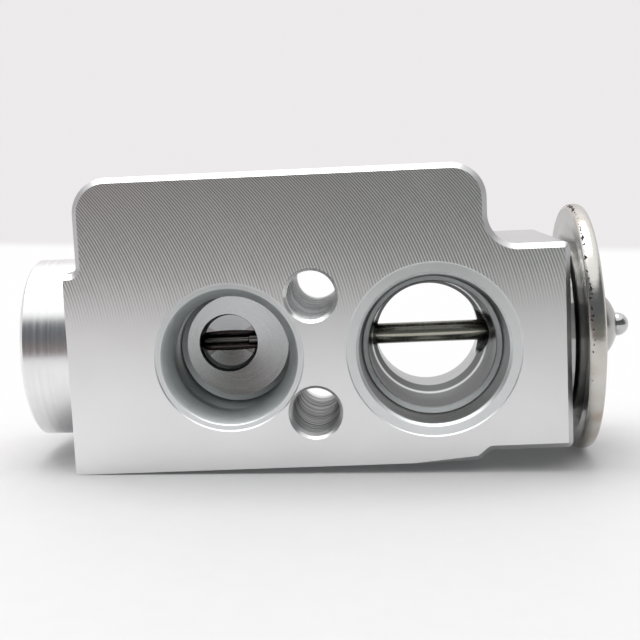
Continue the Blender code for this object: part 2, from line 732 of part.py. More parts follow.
def rod_seal():
    """The O-ring round the pin that parts the liquid side from the suction side."""
    inner = PIN_DIAMETER / 2 + SEAT
    outer = ROD_HOLE / 2 - SEAT
    start = SEAL_RECESS_X + SEAT
    bevel = (outer - inner) / 4
    seal = [
        (start, inner + bevel),
        (start, outer - bevel),
        (start + bevel, outer),
        (start + SEAL_LENGTH - bevel, outer),
        (start + SEAL_LENGTH, outer - bevel),
        (start + SEAL_LENGTH, inner + bevel),
        (start + SEAL_LENGTH - bevel, inner),
        (start + bevel, inner),
    ]
    spun("rod_seal", seal, COARSE, PARTS, RUBBER, ring=True)
    start += SEAL_LENGTH + SEAT
    bush = [
        (start, inner),
        (start, outer),
        (start + RETAINER_LENGTH, outer),
        (start + RETAINER_LENGTH, inner),
    ]
    spun("seal_retainer", bush, COARSE, PARTS, BRIGHT_STEEL, ring=True)


def sensing_rod():
    """The rod that crosses the suction passage from the pad to the pin."""
    radius = ROD_DIAMETER / 2
    bevel = radius / 5
    profile = [
        (ROD_START_X, 0),
        (ROD_START_X, radius - bevel),
        (ROD_START_X + bevel, radius),
        (ROD_END_X - bevel, radius),
        (ROD_END_X, radius - bevel),
        (ROD_END_X, 0),
    ]
    spun("sensing_rod", profile, COARSE, PARTS, ROD_STEEL)


def diaphragm_pad():
    """The pad under the diaphragm, with a stem that guides it and holds the rod's end."""
    socket = ROD_DIAMETER / 2 + SLIDE
    profile = [
        (PAD_STEM_X + PAD_SOCKET_DEPTH, 0),
        (PAD_STEM_X + PAD_SOCKET_DEPTH, socket),
        (PAD_STEM_X, socket),
        (PAD_STEM_X, PAD_STEM / 2),
        (PAD_X, PAD_STEM / 2),
        (PAD_X, PAD_DIAMETER / 2),
        (PAD_X + PAD_THICKNESS, PAD_DIAMETER / 2),
        (PAD_X + PAD_THICKNESS, 0),
    ]
    spun("diaphragm_pad", profile, MEDIUM, PARTS, BRIGHT_STEEL)


def threaded_neck():
    """The neck that screws the head into the block, and stops and guides the pad."""
    radius = NECK_DIAMETER / 2
    top = PAD_X - STROKE - SLIDE
    guide = PAD_STEM / 2 + SLIDE
    collar = NECK_COLLAR / 2
    collar_end = RIM_X - LOWER_DISH + COVER_SHEET
    flange_end = FLANGE_X + NECK_FLANGE_THICKNESS
    profile = [
        (NECK_START_X, NECK_SKIRT_BORE / 2),
        (NECK_START_X, radius - SCREW_CHAMFER),
        (NECK_START_X + SCREW_CHAMFER, radius),
        (FLANGE_X, radius),
        (FLANGE_X, NECK_FLANGE / 2),
        (flange_end, NECK_FLANGE / 2),
        (flange_end, collar),
        (collar_end, collar),
        (collar_end, collar - NECK_COLLAR_WALL),
        (top, collar - NECK_COLLAR_WALL),
        (top, guide),
        (top - NECK_GUIDE_LENGTH, guide),
        (top - NECK_GUIDE_LENGTH, NECK_SKIRT_BORE / 2),
    ]
    spun("threaded_neck", profile, MEDIUM, PARTS, STAINLESS, ring=True)


def head_gasket():
    """The O-ring that seals the neck in the block's head face."""
    radius = NECK_DIAMETER / 2 + SLIDE + SEAT + GASKET_SECTION / 2
    middle = BLOCK_LENGTH - GASKET_GROOVE_DEPTH + SEAT + GASKET_SECTION / 2
    ring = torus_profile(middle, radius, GASKET_SECTION)
    spun("head_gasket", ring, MEDIUM, PARTS, RUBBER, ring=True)


def cover_radii():
    """Where the covers' flanges start and end."""
    outer = HEAD_DIAMETER / 2 - RIM_WELD_WIDTH
    return outer - FLANGE_WIDTH, outer


def lower_cover():
    """The stamped cover on the block's side: flat flange, cone, and a flat ring round the neck."""
    inner, outer = cover_radii()
    hole = NECK_COLLAR / 2 + SLIDE
    flat = hole + LOWER_FLAT_WIDTH
    low = RIM_X - LOWER_DISH
    profile = [
        (low, hole),
        (low, flat),
        (RIM_X, inner),
        (RIM_X, outer),
        (RIM_X + COVER_SHEET, outer),
        (RIM_X + COVER_SHEET, inner - COVER_SHEET / 4),
        (low + COVER_SHEET, flat - COVER_SHEET / 4),
        (low + COVER_SHEET, hole),
    ]
    spun("lower_cover", profile, FINE, PARTS, STAINLESS, ring=True)


def diaphragm():
    """The thin corrugated disc between the covers."""
    outer = cover_radii()[1]
    plain = PAD_DIAMETER / 2
    inner = cover_radii()[0]
    front = [(DIAPHRAGM_X, 0), (DIAPHRAGM_X, plain)]
    for i in range(1, DIAPHRAGM_POINTS):
        share = i / DIAPHRAGM_POINTS
        radius = plain + (inner - plain) * share
        sway = DIAPHRAGM_WAVE * math.sin(2 * math.pi * DIAPHRAGM_WAVES * share)
        front.append((DIAPHRAGM_X + sway, radius))
    front += [(DIAPHRAGM_X, inner), (DIAPHRAGM_X, outer)]
    back = [(station + DIAPHRAGM_THICKNESS, radius) for station, radius in reversed(front)]
    spun("diaphragm", front + back, MEDIUM, PARTS, BRIGHT_STEEL)


def upper_cover():
    """The stamped outer cover, with the domed boss that holds the charging ball."""
    inner, outer = cover_radii()
    face = DOME_FACE / 2
    base = DOME_BASE / 2
    sheet = RIM_END_X - COVER_X
    seat = CHARGE_BALL_DIAMETER / 2 + SEAT
    raised = DOME_X - sheet
    ball_back = CHARGE_BALL_X - CHARGE_BALL_DIAMETER / 2 - SEAT
    crown = math.atan2(DOME_HEIGHT, base - face)
    arc = []
    for i in range(1, DOME_PIECES):
        share = i / DOME_PIECES
        bulge = math.sin(math.pi * share) * DOME_HEIGHT * DOME_BULGE_SHARE
        radius = base + (face - base) * share + bulge * math.sin(crown)
        arc.append((DOME_X + DOME_HEIGHT * share + bulge * math.cos(crown), radius))
    outside = [(RIM_END_X, outer), (RIM_END_X, inner), (DOME_X, inner - UPPER_DISH_RUN), (DOME_X, base)]
    outside += arc
    outside += [(DOME_END_X, face), (DOME_END_X, seat), (ball_back, seat), (ball_back, seat / 3)]
    inside = [
        (raised, seat / 3),
        (raised, inner - UPPER_DISH_RUN - sheet / 4),
        (COVER_X, inner - sheet / 4),
        (COVER_X, outer),
    ]
    spun("upper_cover", outside + inside, FINE, PARTS, STAINLESS, ring=True)


def rim_weld():
    """The rounded weld that closes the covers and the diaphragm at the rim."""
    outer = HEAD_DIAMETER / 2
    inner = cover_radii()[1] + SEAT
    middle = (RIM_X + RIM_END_X) / 2
    half = RIM_THICKNESS / 2
    bulge = outer - inner - SEAT
    profile = [(RIM_X, inner)]
    for i in range(RIM_WELD_PIECES + 1):
        turn = math.pi * i / RIM_WELD_PIECES
        profile.append((middle - half * math.cos(turn), outer - bulge + bulge * math.sin(turn)))
    profile.append((RIM_END_X, inner))
    spun("rim_weld", profile, FINE, PARTS, WELD, ring=True)


valve_body()
adjusting_screw()
valve_spring()
ball_carrier()
damping_washer()
ball("valve_ball", BALL_DIAMETER, BALL_X, BRIGHT_STEEL)
push_pin()
rod_seal()
sensing_rod()
diaphragm_pad()
threaded_neck()
head_gasket()
lower_cover()
diaphragm()
upper_cover()
rim_weld()
ball("charge_ball", CHARGE_BALL_DIAMETER, CHARGE_BALL_X, BRIGHT_STEEL)
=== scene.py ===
"""Studio scene of a block-type thermostatic expansion valve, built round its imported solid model.

The valve lies on its keel: +X runs along its axis towards the power head, -Y faces the evaporator
side and the camera, and +Z is up. Sizes are metres.
"""

import logging
import math
from collections.abc import Callable
from dataclasses import dataclass, field, replace
from enum import Enum, IntEnum

import bmesh
import bpy
from mathutils import Euler, Matrix, Vector


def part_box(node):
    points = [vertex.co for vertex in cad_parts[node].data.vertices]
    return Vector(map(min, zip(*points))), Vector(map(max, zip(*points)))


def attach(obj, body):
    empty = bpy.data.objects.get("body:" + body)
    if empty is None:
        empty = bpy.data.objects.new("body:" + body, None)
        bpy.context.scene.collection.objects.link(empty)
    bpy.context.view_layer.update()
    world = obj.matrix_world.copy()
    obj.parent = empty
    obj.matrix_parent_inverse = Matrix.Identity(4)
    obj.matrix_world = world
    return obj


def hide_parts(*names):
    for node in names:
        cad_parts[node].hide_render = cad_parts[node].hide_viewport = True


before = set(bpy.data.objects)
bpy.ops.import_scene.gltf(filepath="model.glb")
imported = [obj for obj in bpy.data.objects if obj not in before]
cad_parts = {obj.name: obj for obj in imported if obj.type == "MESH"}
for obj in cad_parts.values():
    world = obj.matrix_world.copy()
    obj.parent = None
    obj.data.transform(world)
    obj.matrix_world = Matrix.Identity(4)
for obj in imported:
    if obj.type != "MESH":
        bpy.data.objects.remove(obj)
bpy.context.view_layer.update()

LOG = logging.getLogger("expansion_valve")
MM = 0.001
# Gaps between pieces that slide and pieces that are joined, how far a cutter reaches past what it
# cuts, and how exactly a face lies on a plane.
SLIDE = 0.15 * MM
SEAT = 0.10 * MM
OVERRUN = 1.0 * MM
FLUSH = 0.01 * MM
TINY = 1e-9
NEARLY_STRAIGHT = math.radians(88)
Z_TO_X = Matrix.Rotation(math.pi / 2, 4, "Y")

Point = tuple[float, float]


class Steps(Enum):
    """Facets round a turned surface, by how closely it is seen."""

    LARGE = 192
    MIDDLE = 96
    SMALL = 64


# Geometry helpers


@dataclass(frozen=True)
class Spindle:
    """A lathe axis.

    Args:
        origin: the point on the axis where stations start.
        along: the unit direction in which stations grow.
    """

    origin: Vector
    along: Vector

    def ring(self, station: float, radius: float, steps: int) -> list[Vector]:
        """Points round the axis at a station, or the one point on it where the radius is nil."""
        centre = self.origin + self.along * station
        if radius < TINY:
            return [centre]
        across = self.along.orthogonal().normalized()
        other = self.along.cross(across)
        turns = [2 * math.pi * i / steps for i in range(steps)]
        return [centre + (across * math.cos(t) + other * math.sin(t)) * radius for t in turns]


def arc_at(before: Vector, here: Vector, after: Vector, radius: float, pieces: int) -> list[Vector]:
    """The points of the arc that rounds a corner of a flat outline."""
    towards = (before - here).normalized()
    onwards = (after - here).normalized()
    half = towards.angle(onwards) / 2
    if radius < TINY or half > NEARLY_STRAIGHT:
        return [here]
    reach = radius / math.tan(half)
    centre = here + (towards + onwards).normalized() * radius / math.sin(half)
    first = here + towards * reach - centre
    sweep = first.angle_signed(here + onwards * reach - centre)
    return [centre + Matrix.Rotation(-sweep * k / pieces, 2) @ first for k in range(pieces + 1)]


def rounded(corners: list[tuple[float, float, float, int]]) -> list[Vector]:
    """A closed outline whose corners, (x, y, radius, pieces), are rounded by arcs."""
    points = [Vector(corner[:2]) for corner in corners]
    made = []
    for i, (_, _, radius, pieces) in enumerate(corners):
        made += arc_at(points[i - 1], points[i], points[(i + 1) % len(points)], radius, pieces)
    return made


def eased(profile: list[Point], radius: float, pieces: int = 3, share: float = 0.4) -> list[Point]:
    """An open profile with each corner eased by an arc that takes up to a share of its sides."""
    points = [Vector(point) for point in profile]
    made = points[:1]
    for before, here, after in zip(points, points[1:], points[2:]):
        half = (before - here).angle(after - here) / 2
        side = min((before - here).length, (after - here).length)
        room = share * side * math.tan(half)
        made += arc_at(before, here, after, min(radius, room), pieces)
    return [tuple(point) for point in made + points[-1:]]


def linked(name: str, data: bpy.types.ID) -> bpy.types.Object:
    """A new object at the origin, in the scene."""
    made = bpy.data.objects.new(name, data)
    bpy.context.scene.collection.objects.link(made)
    return made


def smooth(mesh: bpy.types.Mesh, sharp_deg: float) -> None:
    """Shades a mesh smooth up to an angle."""
    mesh.shade_smooth()
    mesh.set_sharp_from_angle(angle=math.radians(sharp_deg))


def finished(name: str, work: bmesh.types.BMesh) -> bpy.types.Object:
    """An object at the origin from a bmesh, its faces turned outwards."""
    bmesh.ops.recalc_face_normals(work, faces=work.faces)
    mesh = bpy.data.meshes.new(name)
    work.to_mesh(mesh)
    work.free()
    smooth(mesh, sharp_deg=30)
    return linked(name, mesh)


def turned(
    name: str, profile: list[Point], spindle: Spindle, steps: Steps, ring: bool = False
) -> bpy.types.Object:
    """A turned piece.

    Args:
        name: the new object's name.
        profile: (station, radius) pairs, outside first from low to high station.
        spindle: the axis it is turned about.
        steps: how finely it is turned.
        ring: whether the profile closes on itself instead of on the axis.

    Returns:
        The new object, with its place in its mesh.
    """
    work = bmesh.new()
    count = steps.value
    rows = [[work.verts.new(p) for p in spindle.ring(s, r, count)] for s, r in profile]
    pairs = list(zip(rows, rows[1:]))
    if ring:
        pairs.append((rows[-1], rows[0]))
    for low, high in pairs:
        for i in range(count):
            j = (i + 1) % count
            corners = [low[i % len(low)], low[j % len(low)], high[j % len(high)], high[i % len(high)]]
            unlike = list(dict.fromkeys(corners))
            if len(unlike) > 2:
                work.faces.new(unlike)
    return finished(name, work)


def cutter(name: str, spindle: Spindle, steps: Steps, stops: list[Point]) -> bpy.types.Object:
    """A turned solid from (station, diameter) stops, closed on its axis at both ends."""
    first, last = stops[0][0], stops[-1][0]
    profile = [(first, 0.0), *((station, diameter / 2) for station, diameter in stops)]
    if stops[-1][1]:
        profile.append((last, 0.0))
    return turned(name, profile, spindle, steps)


def ball(name: str, centre: Vector, radius: float) -> bpy.types.Object:
    """A ball whose poles lie along the valve axis."""
    work = bmesh.new()
    place = Matrix.Translation(centre) @ Z_TO_X
    bmesh.ops.create_uvsphere(work, u_segments=64, v_segments=32, radius=radius, matrix=place)
    return finished(name, work)


def cut(body: bpy.types.Object, tool: bpy.types.Object, operation: str = "DIFFERENCE") -> None:
    """Queues one Boolean on a body."""
    modifier = body.modifiers.new(tool.name, "BOOLEAN")
    modifier.operation = operation
    modifier.solver = "EXACT"
    modifier.object = tool


def applied(piece: bpy.types.Object, sharp_deg: float) -> bpy.types.Object:
    """Turns a piece with its modifiers into a plain mesh, and removes the tools that cut it."""
    seen = piece.evaluated_get(bpy.context.evaluated_depsgraph_get())
    mesh = bpy.data.meshes.new_from_object(seen)
    tools = [modifier.object for modifier in piece.modifiers if modifier.type == "BOOLEAN"]
    piece.modifiers.clear()
    piece.data = mesh
    for tool in tools:
        bpy.data.objects.remove(tool, do_unlink=True)
    smooth(mesh, sharp_deg)
    return piece


def settle(
    piece: bpy.types.Object, body: str, slot: str, *stands_for: str, finish: "Finish | None" = None
) -> None:
    """Gives a piece its finish and its body, and hides the nodes it stands for."""
    if finish:
        piece.data.materials.append(finish.material())
    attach(piece, body)
    if stands_for:
        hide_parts(*stands_for)
    LOG.info("%s: %d faces, rides on %s", piece.name, len(piece.data.polygons), body)


# Node trees


def step(operation: str, swapped: bool = False) -> Callable:
    """A method of Value that adds one Math node."""

    def method(value: "Value", other: object = 0.0) -> "Value":
        pair = (other, value) if swapped else (value, other)
        return value.sketch.math(operation, *pair)

    return method


@dataclass(frozen=True)
class Value:
    """A socket that is reckoned with like a number, each step of which is a Math node."""

    sketch: "Sketch"
    socket: bpy.types.NodeSocket

    __add__ = step("ADD")
    __sub__ = step("SUBTRACT")
    __rsub__ = step("SUBTRACT", swapped=True)
    __mul__ = step("MULTIPLY")
    __truediv__ = step("DIVIDE")
    at_most = step("MINIMUM")
    at_least = step("MAXIMUM")
    below = step("LESS_THAN")
    size = step("ABSOLUTE")
    floor = step("FLOOR")
    root = step("SQRT")
    sine = step("SINE")
    cosine = step("COSINE")


class Sketch:
    """Adds and wires the nodes of one tree, so that a recipe reads like its formula."""

    def __init__(self, tree: bpy.types.NodeTree) -> None:
        self.tree = tree

    def feed(self, node: bpy.types.Node, inputs: dict) -> None:
        """Links a node's inputs, found by name or number, to values of the tree, or sets them."""
        for key, value in inputs.items():
            socket = node.inputs[key]
            if isinstance(value, Value):
                self.tree.links.new(value.socket, socket)
            elif socket.type == "RGBA":
                socket.default_value = (*value, 1.0)
            else:
                socket.default_value = value

    def add(self, kind: str, inputs: dict | None = None, **settings) -> dict[str, Value]:
        """The outputs of a new node, by name, with its settings made and its inputs fed."""
        node = self.tree.nodes.new(kind)
        for key, value in settings.items():
            setattr(node, key, value)
        self.feed(node, inputs or {})
        return {socket.name: Value(self, socket) for socket in node.outputs if socket.enabled}

    def out(self, kind: str, inputs: dict | None = None, **settings) -> Value:
        """The first output of a new node."""
        return next(iter(self.add(kind, inputs, **settings).values()))

    def math(self, operation: str, *values: object) -> Value:
        """One Math node."""
        return self.out("ShaderNodeMath", dict(enumerate(values)), operation=operation)

    def vector(self, operation: str, *values: object) -> Value:
        """One Vector Math node."""
        return self.out("ShaderNodeVectorMath", dict(enumerate(values)), operation=operation)

    def scaled(self, vector: object, size: object) -> Value:
        """A vector times a number."""
        return self.out("ShaderNodeVectorMath", {"Vector": vector, "Scale": size}, operation="SCALE")

    def span(self, value: Value, low: float, high: float, first: float = 0.0, last: float = 1.0) -> Value:
        """A smooth step from first to last as the value goes from low to high."""
        inputs = {"Value": value, "From Min": low, "From Max": high, "To Min": first, "To Max": last}
        return self.out("ShaderNodeMapRange", inputs, interpolation_type="SMOOTHSTEP")

    def mix(self, share: object, first: object, second: object, **settings) -> Value:
        """A colour between two colours."""
        return self.out("ShaderNodeMix", {0: share, 6: first, 7: second}, data_type="RGBA", **settings)

    def ramp(self, value: Value, stops: tuple[Point, ...]) -> Value:
        """A grey that goes straight from stop to stop, (value, grey), as the value grows."""
        first = stops[0][0]
        run = stops[-1][0] - first
        grey = self.out("ShaderNodeValToRGB", {"Fac": (value - first) / run})
        line = grey.socket.node.color_ramp.elements
        while len(line) < len(stops):
            line.new(0.5)
        for element, (at, tone) in zip(line, stops):
            element.position = (at - first) / run
            element.color = (tone, tone, tone, 1.0)
        return grey

    def noise(self, where: Value, scale: float, detail: float = 2.0, roughness: float = 0.5) -> Value:
        """Smooth noise from 0 to 1 at a place."""
        inputs = {"Vector": where, "Scale": scale, "Detail": detail, "Roughness": roughness}
        return self.out("ShaderNodeTexNoise", inputs)

    def split(self, where: Value) -> tuple[Value, ...]:
        """The three parts of a vector."""
        return tuple(self.add("ShaderNodeSeparateXYZ", {"Vector": where}).values())

    def place(self) -> Value:
        """The object's own coordinates."""
        return self.add("ShaderNodeTexCoord")["Object"]


@dataclass(frozen=True)
class Finish:
    """A surface finish.

    Args:
        name: the material's name.
        colour: the linear base colour.
        roughness: its middle roughness.
        metallic: 1 for bare metal.
        dark: the darkest tone, as a share of the colour.
        light: the lightest tone.
        sway: how far the roughness goes from its lowest to its highest.
        depth: how deep the marks are.
    """

    name: str
    colour: tuple[float, float, float]
    roughness: float
    metallic: float = 1.0
    dark: float = 0.85
    light: float = 1.1
    sway: float = 0.16
    depth: float = 0.004 * MM

    def material(self) -> bpy.types.Material:
        """The material, with its uniform values on the shader and its marks wired to it."""
        found = bpy.data.materials.get(self.name)
        if found:
            return found
        made = bpy.data.materials.new(self.name)
        made.use_nodes = True
        sketch = Sketch(made.node_tree)
        shader = made.node_tree.nodes["Principled BSDF"]
        plain = {"Base Color": self.colour, "Roughness": self.roughness, "Metallic": self.metallic}
        sketch.feed(shader, plain)
        sketch.feed(shader, self.marks(sketch, sketch.place()))
        return made

    def marks(self, sketch: Sketch, where: Value) -> dict:
        """What the finish feeds to the inputs of its shader."""
        raise NotImplementedError

    def relief(self, sketch: Sketch, height: Value) -> Value:
        """A height as bumps of the marks' depth."""
        return sketch.out("ShaderNodeBump", {"Height": height, "Strength": 1.0, "Distance": self.depth})

    def coat(self, sketch: Sketch, shade: Value, rough: Value, height: Value) -> dict:
        """Tone, roughness and relief, each from a value between 0 and 1."""
        dark, light = ([min(part * tone, 1.0) for part in self.colour] for tone in (self.dark, self.light))
        return {
            "Base Color": sketch.mix(shade, dark, light),
            "Roughness": rough * self.sway + (self.roughness - self.sway / 2),
            "Normal": self.relief(sketch, height),
        }


@dataclass(frozen=True)
class Milled(Finish):
    """A face-milled surface: arcs of the cutter's radius, one feed apart.

    Args:
        feed: how far the cutter moves in a turn, along X.
        cutter_radius: the radius of the arcs.
        centre_height: the height of the cutter's centre.
        shallowest: the height of the lowest marks.
        deepest: the height of the highest ones.
        fade_low: the height where the marks are worn away.
        fade_high: the height from which they are whole.
        worn_and_sheen_tone: how light the lower face is, where the marks are worn away; it is painted
            lighter there, a painted sheen.
        whole_and_shade_tone: how light the higher face with whole marks is; it is painted darker there, a
            painted shade.
        cloud: how much the tone drifts over the face.
        foot_sheen: how much lighter the face is painted towards the foot end, per metre, a painted
            reflection.
    """

    dark: float = 0.52
    light: float = 1.12
    sway: float = 0.03
    feed: float = 0.373 * MM
    cutter_radius: float = 30.0 * MM
    centre_height: float = 16.4 * MM
    shallowest: float = 0.6
    deepest: float = 1.2
    fade_low: float = 19.0 * MM
    fade_high: float = 30.0 * MM
    worn_and_sheen_tone: float = 0.76
    whole_and_shade_tone: float = 0.50
    cloud: float = 0.3
    foot_sheen: float = 4.0

    def marks(self, sketch: Sketch, where: Value) -> dict:
        x, _, z = sketch.split(where)
        drift = sketch.noise(where, scale=60.0, detail=3.0)
        fade = sketch.span(z, self.fade_low, self.fade_high)
        rise = z - self.centre_height
        sweep = (x - (self.cutter_radius**2 - rise * rise).root()) / self.feed
        chance = sketch.out("ShaderNodeTexWhiteNoise", {"W": sweep.floor()}, noise_dimensions="1D")
        uneven = chance * (self.deepest - self.shallowest) + self.shallowest
        height = (sweep * (2 * math.pi)).sine() * uneven * fade
        # The face is painted darker high up and lighter low down, painted shade and painted sheen, besides
        # the marks that wear away.
        shade = height + fade * (self.whole_and_shade_tone - self.worn_and_sheen_tone) + self.worn_and_sheen_tone
        # The face is painted lighter towards the foot end, a painted reflection, beside its random drift.
        shade = shade + (drift * self.cloud - self.cloud / 2) - x * self.foot_sheen
        return self.coat(sketch, shade, drift, height)


@dataclass(frozen=True)
class Turned(Finish):
    """A turned or bored surface: fine rings about an axis, which spread reflections across them.

    Args:
        centre: a point on the axis.
        along: the axis's direction.
        pitch: how far apart the tool's marks lie.
        spread: how anisotropic the reflections are.
        contrast: how much the rings differ in tone.
        painted_light_bands: painted shade and painted highlight rings along the bore, as (station, share)
            stops that darken the colour and the reflections' tint.
        rough_bands: the roughness at each station, in the same form.
    """

    dark: float = 0.82
    light: float = 1.12
    sway: float = 0.14
    depth: float = 0.0015 * MM
    centre: tuple[float, float, float] = (0.0, 0.0, 0.0)
    along: tuple[float, float, float] = (1.0, 0.0, 0.0)
    pitch: float = 0.25 * MM
    spread: float = 0.5
    contrast: float = 0.6
    painted_light_bands: tuple[Point, ...] = ()
    rough_bands: tuple[Point, ...] = ()

    def marks(self, sketch: Sketch, where: Value) -> dict:
        arm = sketch.vector("SUBTRACT", where, self.centre)
        station = sketch.vector("DOT_PRODUCT", arm, self.along)
        out = sketch.vector("SUBTRACT", arm, sketch.scaled(self.along, station))
        travel = station + sketch.vector("LENGTH", out)
        inputs = {"W": travel, "Scale": 0.5 / self.pitch, "Detail": 3.0, "Roughness": 0.7}
        rings = sketch.out("ShaderNodeTexNoise", inputs, noise_dimensions="1D")
        stain = sketch.noise(where, scale=180.0, detail=3.0)
        shade = rings * self.contrast + stain * 0.5 + (0.25 - self.contrast / 2)
        tangent = sketch.vector("NORMALIZE", sketch.vector("CROSS_PRODUCT", self.along, out))
        turn = {"vector_type": "VECTOR", "convert_from": "OBJECT", "convert_to": "WORLD"}
        fed = self.coat(sketch, shade, rings, rings)
        fed["Anisotropic"] = self.spread
        fed["Tangent"] = sketch.out("ShaderNodeVectorTransform", {"Vector": tangent}, **turn)
        # Painted shade and painted highlight rings: the bands darken the colour and tint the reflections,
        # station by station.
        if self.painted_light_bands:
            grey = sketch.ramp(station, self.painted_light_bands)
            fed["Base Color"] = sketch.mix(1.0, fed["Base Color"], grey, blend_type="MULTIPLY")
            fed["Specular Tint"] = grey
        if self.rough_bands:
            fed["Roughness"] = rings * self.sway + sketch.ramp(station, self.rough_bands) - self.sway / 2
        return fed


@dataclass(frozen=True)
class Extruded(Finish):
    """The walls of an extruded profile: fine die lines along Y, crossed by a few handling scuffs.

    Args:
        stretch: how much the noise is drawn out along Y; smaller is longer.
    """

    dark: float = 0.88
    sway: float = 0.2
    depth: float = 0.003 * MM
    stretch: float = 0.02

    def marks(self, sketch: Sketch, where: Value) -> dict:
        drawn = sketch.vector("MULTIPLY", where, (1.0, self.stretch, 1.0))
        lines = sketch.noise(drawn, scale=2600.0, detail=3.0, roughness=0.6)
        scuffs = sketch.noise(where, scale=220.0, detail=4.0, roughness=0.6)
        return self.coat(sketch, scuffs * 0.7 + lines * 0.3, scuffs, lines)


@dataclass(frozen=True)
class Stamped(Finish):
    """Pressed sheet: a faint drawing texture and cloudy handling marks."""

    def marks(self, sketch: Sketch, where: Value) -> dict:
        grain = sketch.noise(where, scale=900.0, detail=3.0, roughness=0.6)
        cloud = sketch.noise(where, scale=150.0, detail=4.0, roughness=0.6)
        return self.coat(sketch, cloud * 0.8 + grain * 0.2 - 0.1, cloud, grain)


@dataclass(frozen=True)
class Sooty(Finish):
    """The rim's weld: bright metal with soot specks beside its seam and a warm heat tint.

    Args:
        seam_x: where the seam lies along the axis.
        seam_width: how far the specks spread from it.
        clean_height: the height below which there are fewer specks.
        black_height: the height above which there are most.
        soot: the colour of the soot.
        soot_level: from where to where the specks' noise turns to soot.
        tint: the colour of the heat tint.
        tint_level: from where to where the cloud's noise turns to the tint.
        tint_share: how much of the tint there is at most.
    """

    sway: float = 0.1
    depth: float = 0.009 * MM
    seam_x: float = 0.0
    seam_width: float = 0.5 * MM
    clean_height: float = 8.0 * MM
    black_height: float = 30.0 * MM
    soot: tuple[float, float, float] = (0.02, 0.018, 0.015)
    soot_level: Point = (0.77, 0.81)
    tint: tuple[float, float, float] = (0.42, 0.33, 0.25)
    tint_level: Point = (0.42, 0.68)
    tint_share: float = 0.7

    def marks(self, sketch: Sketch, where: Value) -> dict:
        x, _, z = sketch.split(where)
        near = sketch.span((x - self.seam_x).size(), self.seam_width, 0.0)
        near = near * sketch.span(z, self.clean_height, self.black_height, first=0.5, last=1.15)
        specks = sketch.noise(where, scale=1900.0, detail=2.0, roughness=0.65)
        soot = sketch.span(specks + near * sketch.noise(where, scale=230.0) * 0.5, *self.soot_level)
        cloud = sketch.noise(where, scale=140.0, detail=3.0)
        warm = sketch.span(cloud, *self.tint_level, last=self.tint_share)
        metal = sketch.mix(warm, self.colour, self.tint)
        dents = sketch.noise(where, scale=520.0, detail=3.0, roughness=0.6)
        return {
            "Base Color": sketch.mix(soot, metal, self.soot),
            "Metallic": 1.0 - soot,
            "Roughness": soot * 0.5 + cloud * self.sway + (self.roughness - self.sway / 2),
            "Normal": self.relief(sketch, dents * 1.6 + soot * 0.5 + specks),
        }


@dataclass(frozen=True)
class Moulded(Finish):
    """Moulded black rubber with a dusty bloom."""

    metallic: float = 0.0
    dark: float = 0.7
    light: float = 2.2
    sway: float = 0.0
    depth: float = 0.01 * MM

    def marks(self, sketch: Sketch, where: Value) -> dict:
        bloom = sketch.noise(where, scale=400.0, detail=4.0, roughness=0.6)
        return self.coat(sketch, bloom, bloom, bloom)


# The expansion valve


@dataclass
class Axis:
    """Where the valve axis lies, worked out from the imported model.

    Args:
        boss_length: how far the boss stands out from the block's foot face.
    """

    boss_length: float = 6.7 * MM
    foot: Vector = field(init=False)
    spindle: Spindle = field(init=False)

    def __post_init__(self) -> None:
        """Finds the point on the axis at the block's foot face, and the lathe axis through it."""
        body_low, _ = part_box("valve_body")
        ball_low, ball_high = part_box("charge_ball")
        self.foot = Vector((body_low.x + self.boss_length, 0.0, (ball_low.z + ball_high.z) / 2))
        self.spindle = Spindle(self.foot, Vector((1.0, 0.0, 0.0)))

    def coaxial(self, finish: Turned) -> Turned:
        """A turned finish whose rings run round the valve axis."""
        return replace(finish, centre=tuple(self.foot))

    def ends(self, node: str) -> Point:
        """The stations where a node starts and ends."""
        low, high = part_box(node)
        return low.x - self.foot.x, high.x - self.foot.x


class Surface(IntEnum):
    """The block's surfaces, numbered as its material slots are."""

    MILLED = 0
    EXTRUDED = 1
    TURNED = 2
    OUTLET = 3
    POCKET = 4
    SUCTION = 5
    INLET = 6
    UPPER_HOLE = 7
    LOWER_HOLE = 8
    PASSAGE = 9


ALUMINIUM_TONE = (0.90, 0.90, 0.91)
# The extruded walls are painted darker than the milled faces, a painted shade.
EXTRUDED_SHADED_TONE = (0.56, 0.56, 0.565)
BORED_TONE = (0.87, 0.895, 0.895)
# The drilled passage's aluminium is painted dark, a painted shade deep in the block.
DRILLED_PAINTED_SHADE = (0.30, 0.27, 0.27)

# How light the bores are painted, as painted shade deeper in with unshaded rings left as painted
# highlights, and how rough they are, as (millimetres deep, share or roughness) stops.
OUTLET_PAINTED_SHADE = ((0, 1), (0.6, 1), (0.7, 1), (3.0, 1), (3.1, 0.95), (9.6, 0.62), (10.0, 0.62), (11.2, 0.62))
OUTLET_ROUGH = (
    (0, 0.3), (0.7, 0.62), (3.0, 0.62), (3.1, 0.3), (9.6, 0.3), (10.0, 0.26), (11.2, 0.26),
)
POCKET_PAINTED_SHADE = ((10.4, 0.5), (12.6, 0.4), (13.0, 0.55), (14.0, 0.3))
SUCTION_PAINTED_LIGHT = (
    (0, 1), (0.6, 1), (0.7, 0.5), (3.7, 0.38), (3.8, 1), (4.4, 1), (4.5, 0.44), (10.2, 0.37),
    (11.0, 0.4), (11.2, 1), (11.4, 0.9), (11.6, 0.34), (13.2, 0.34), (13.9, 0.78), (28, 0.85),
)
SUCTION_ROUGH = (
    (0, 0.36), (0.7, 0.36), (3.0, 0.24), (3.7, 0.24), (3.8, 0.6), (4.4, 0.6), (4.5, 0.24), (28, 0.24),
)
INLET_PAINTED_SHADE = ((0, 1), (0.6, 1), (0.7, 0.8), (2.4, 0.7), (2.6, 0.4), (6.6, 0.35), (6.8, 0.7), (14, 0.3))


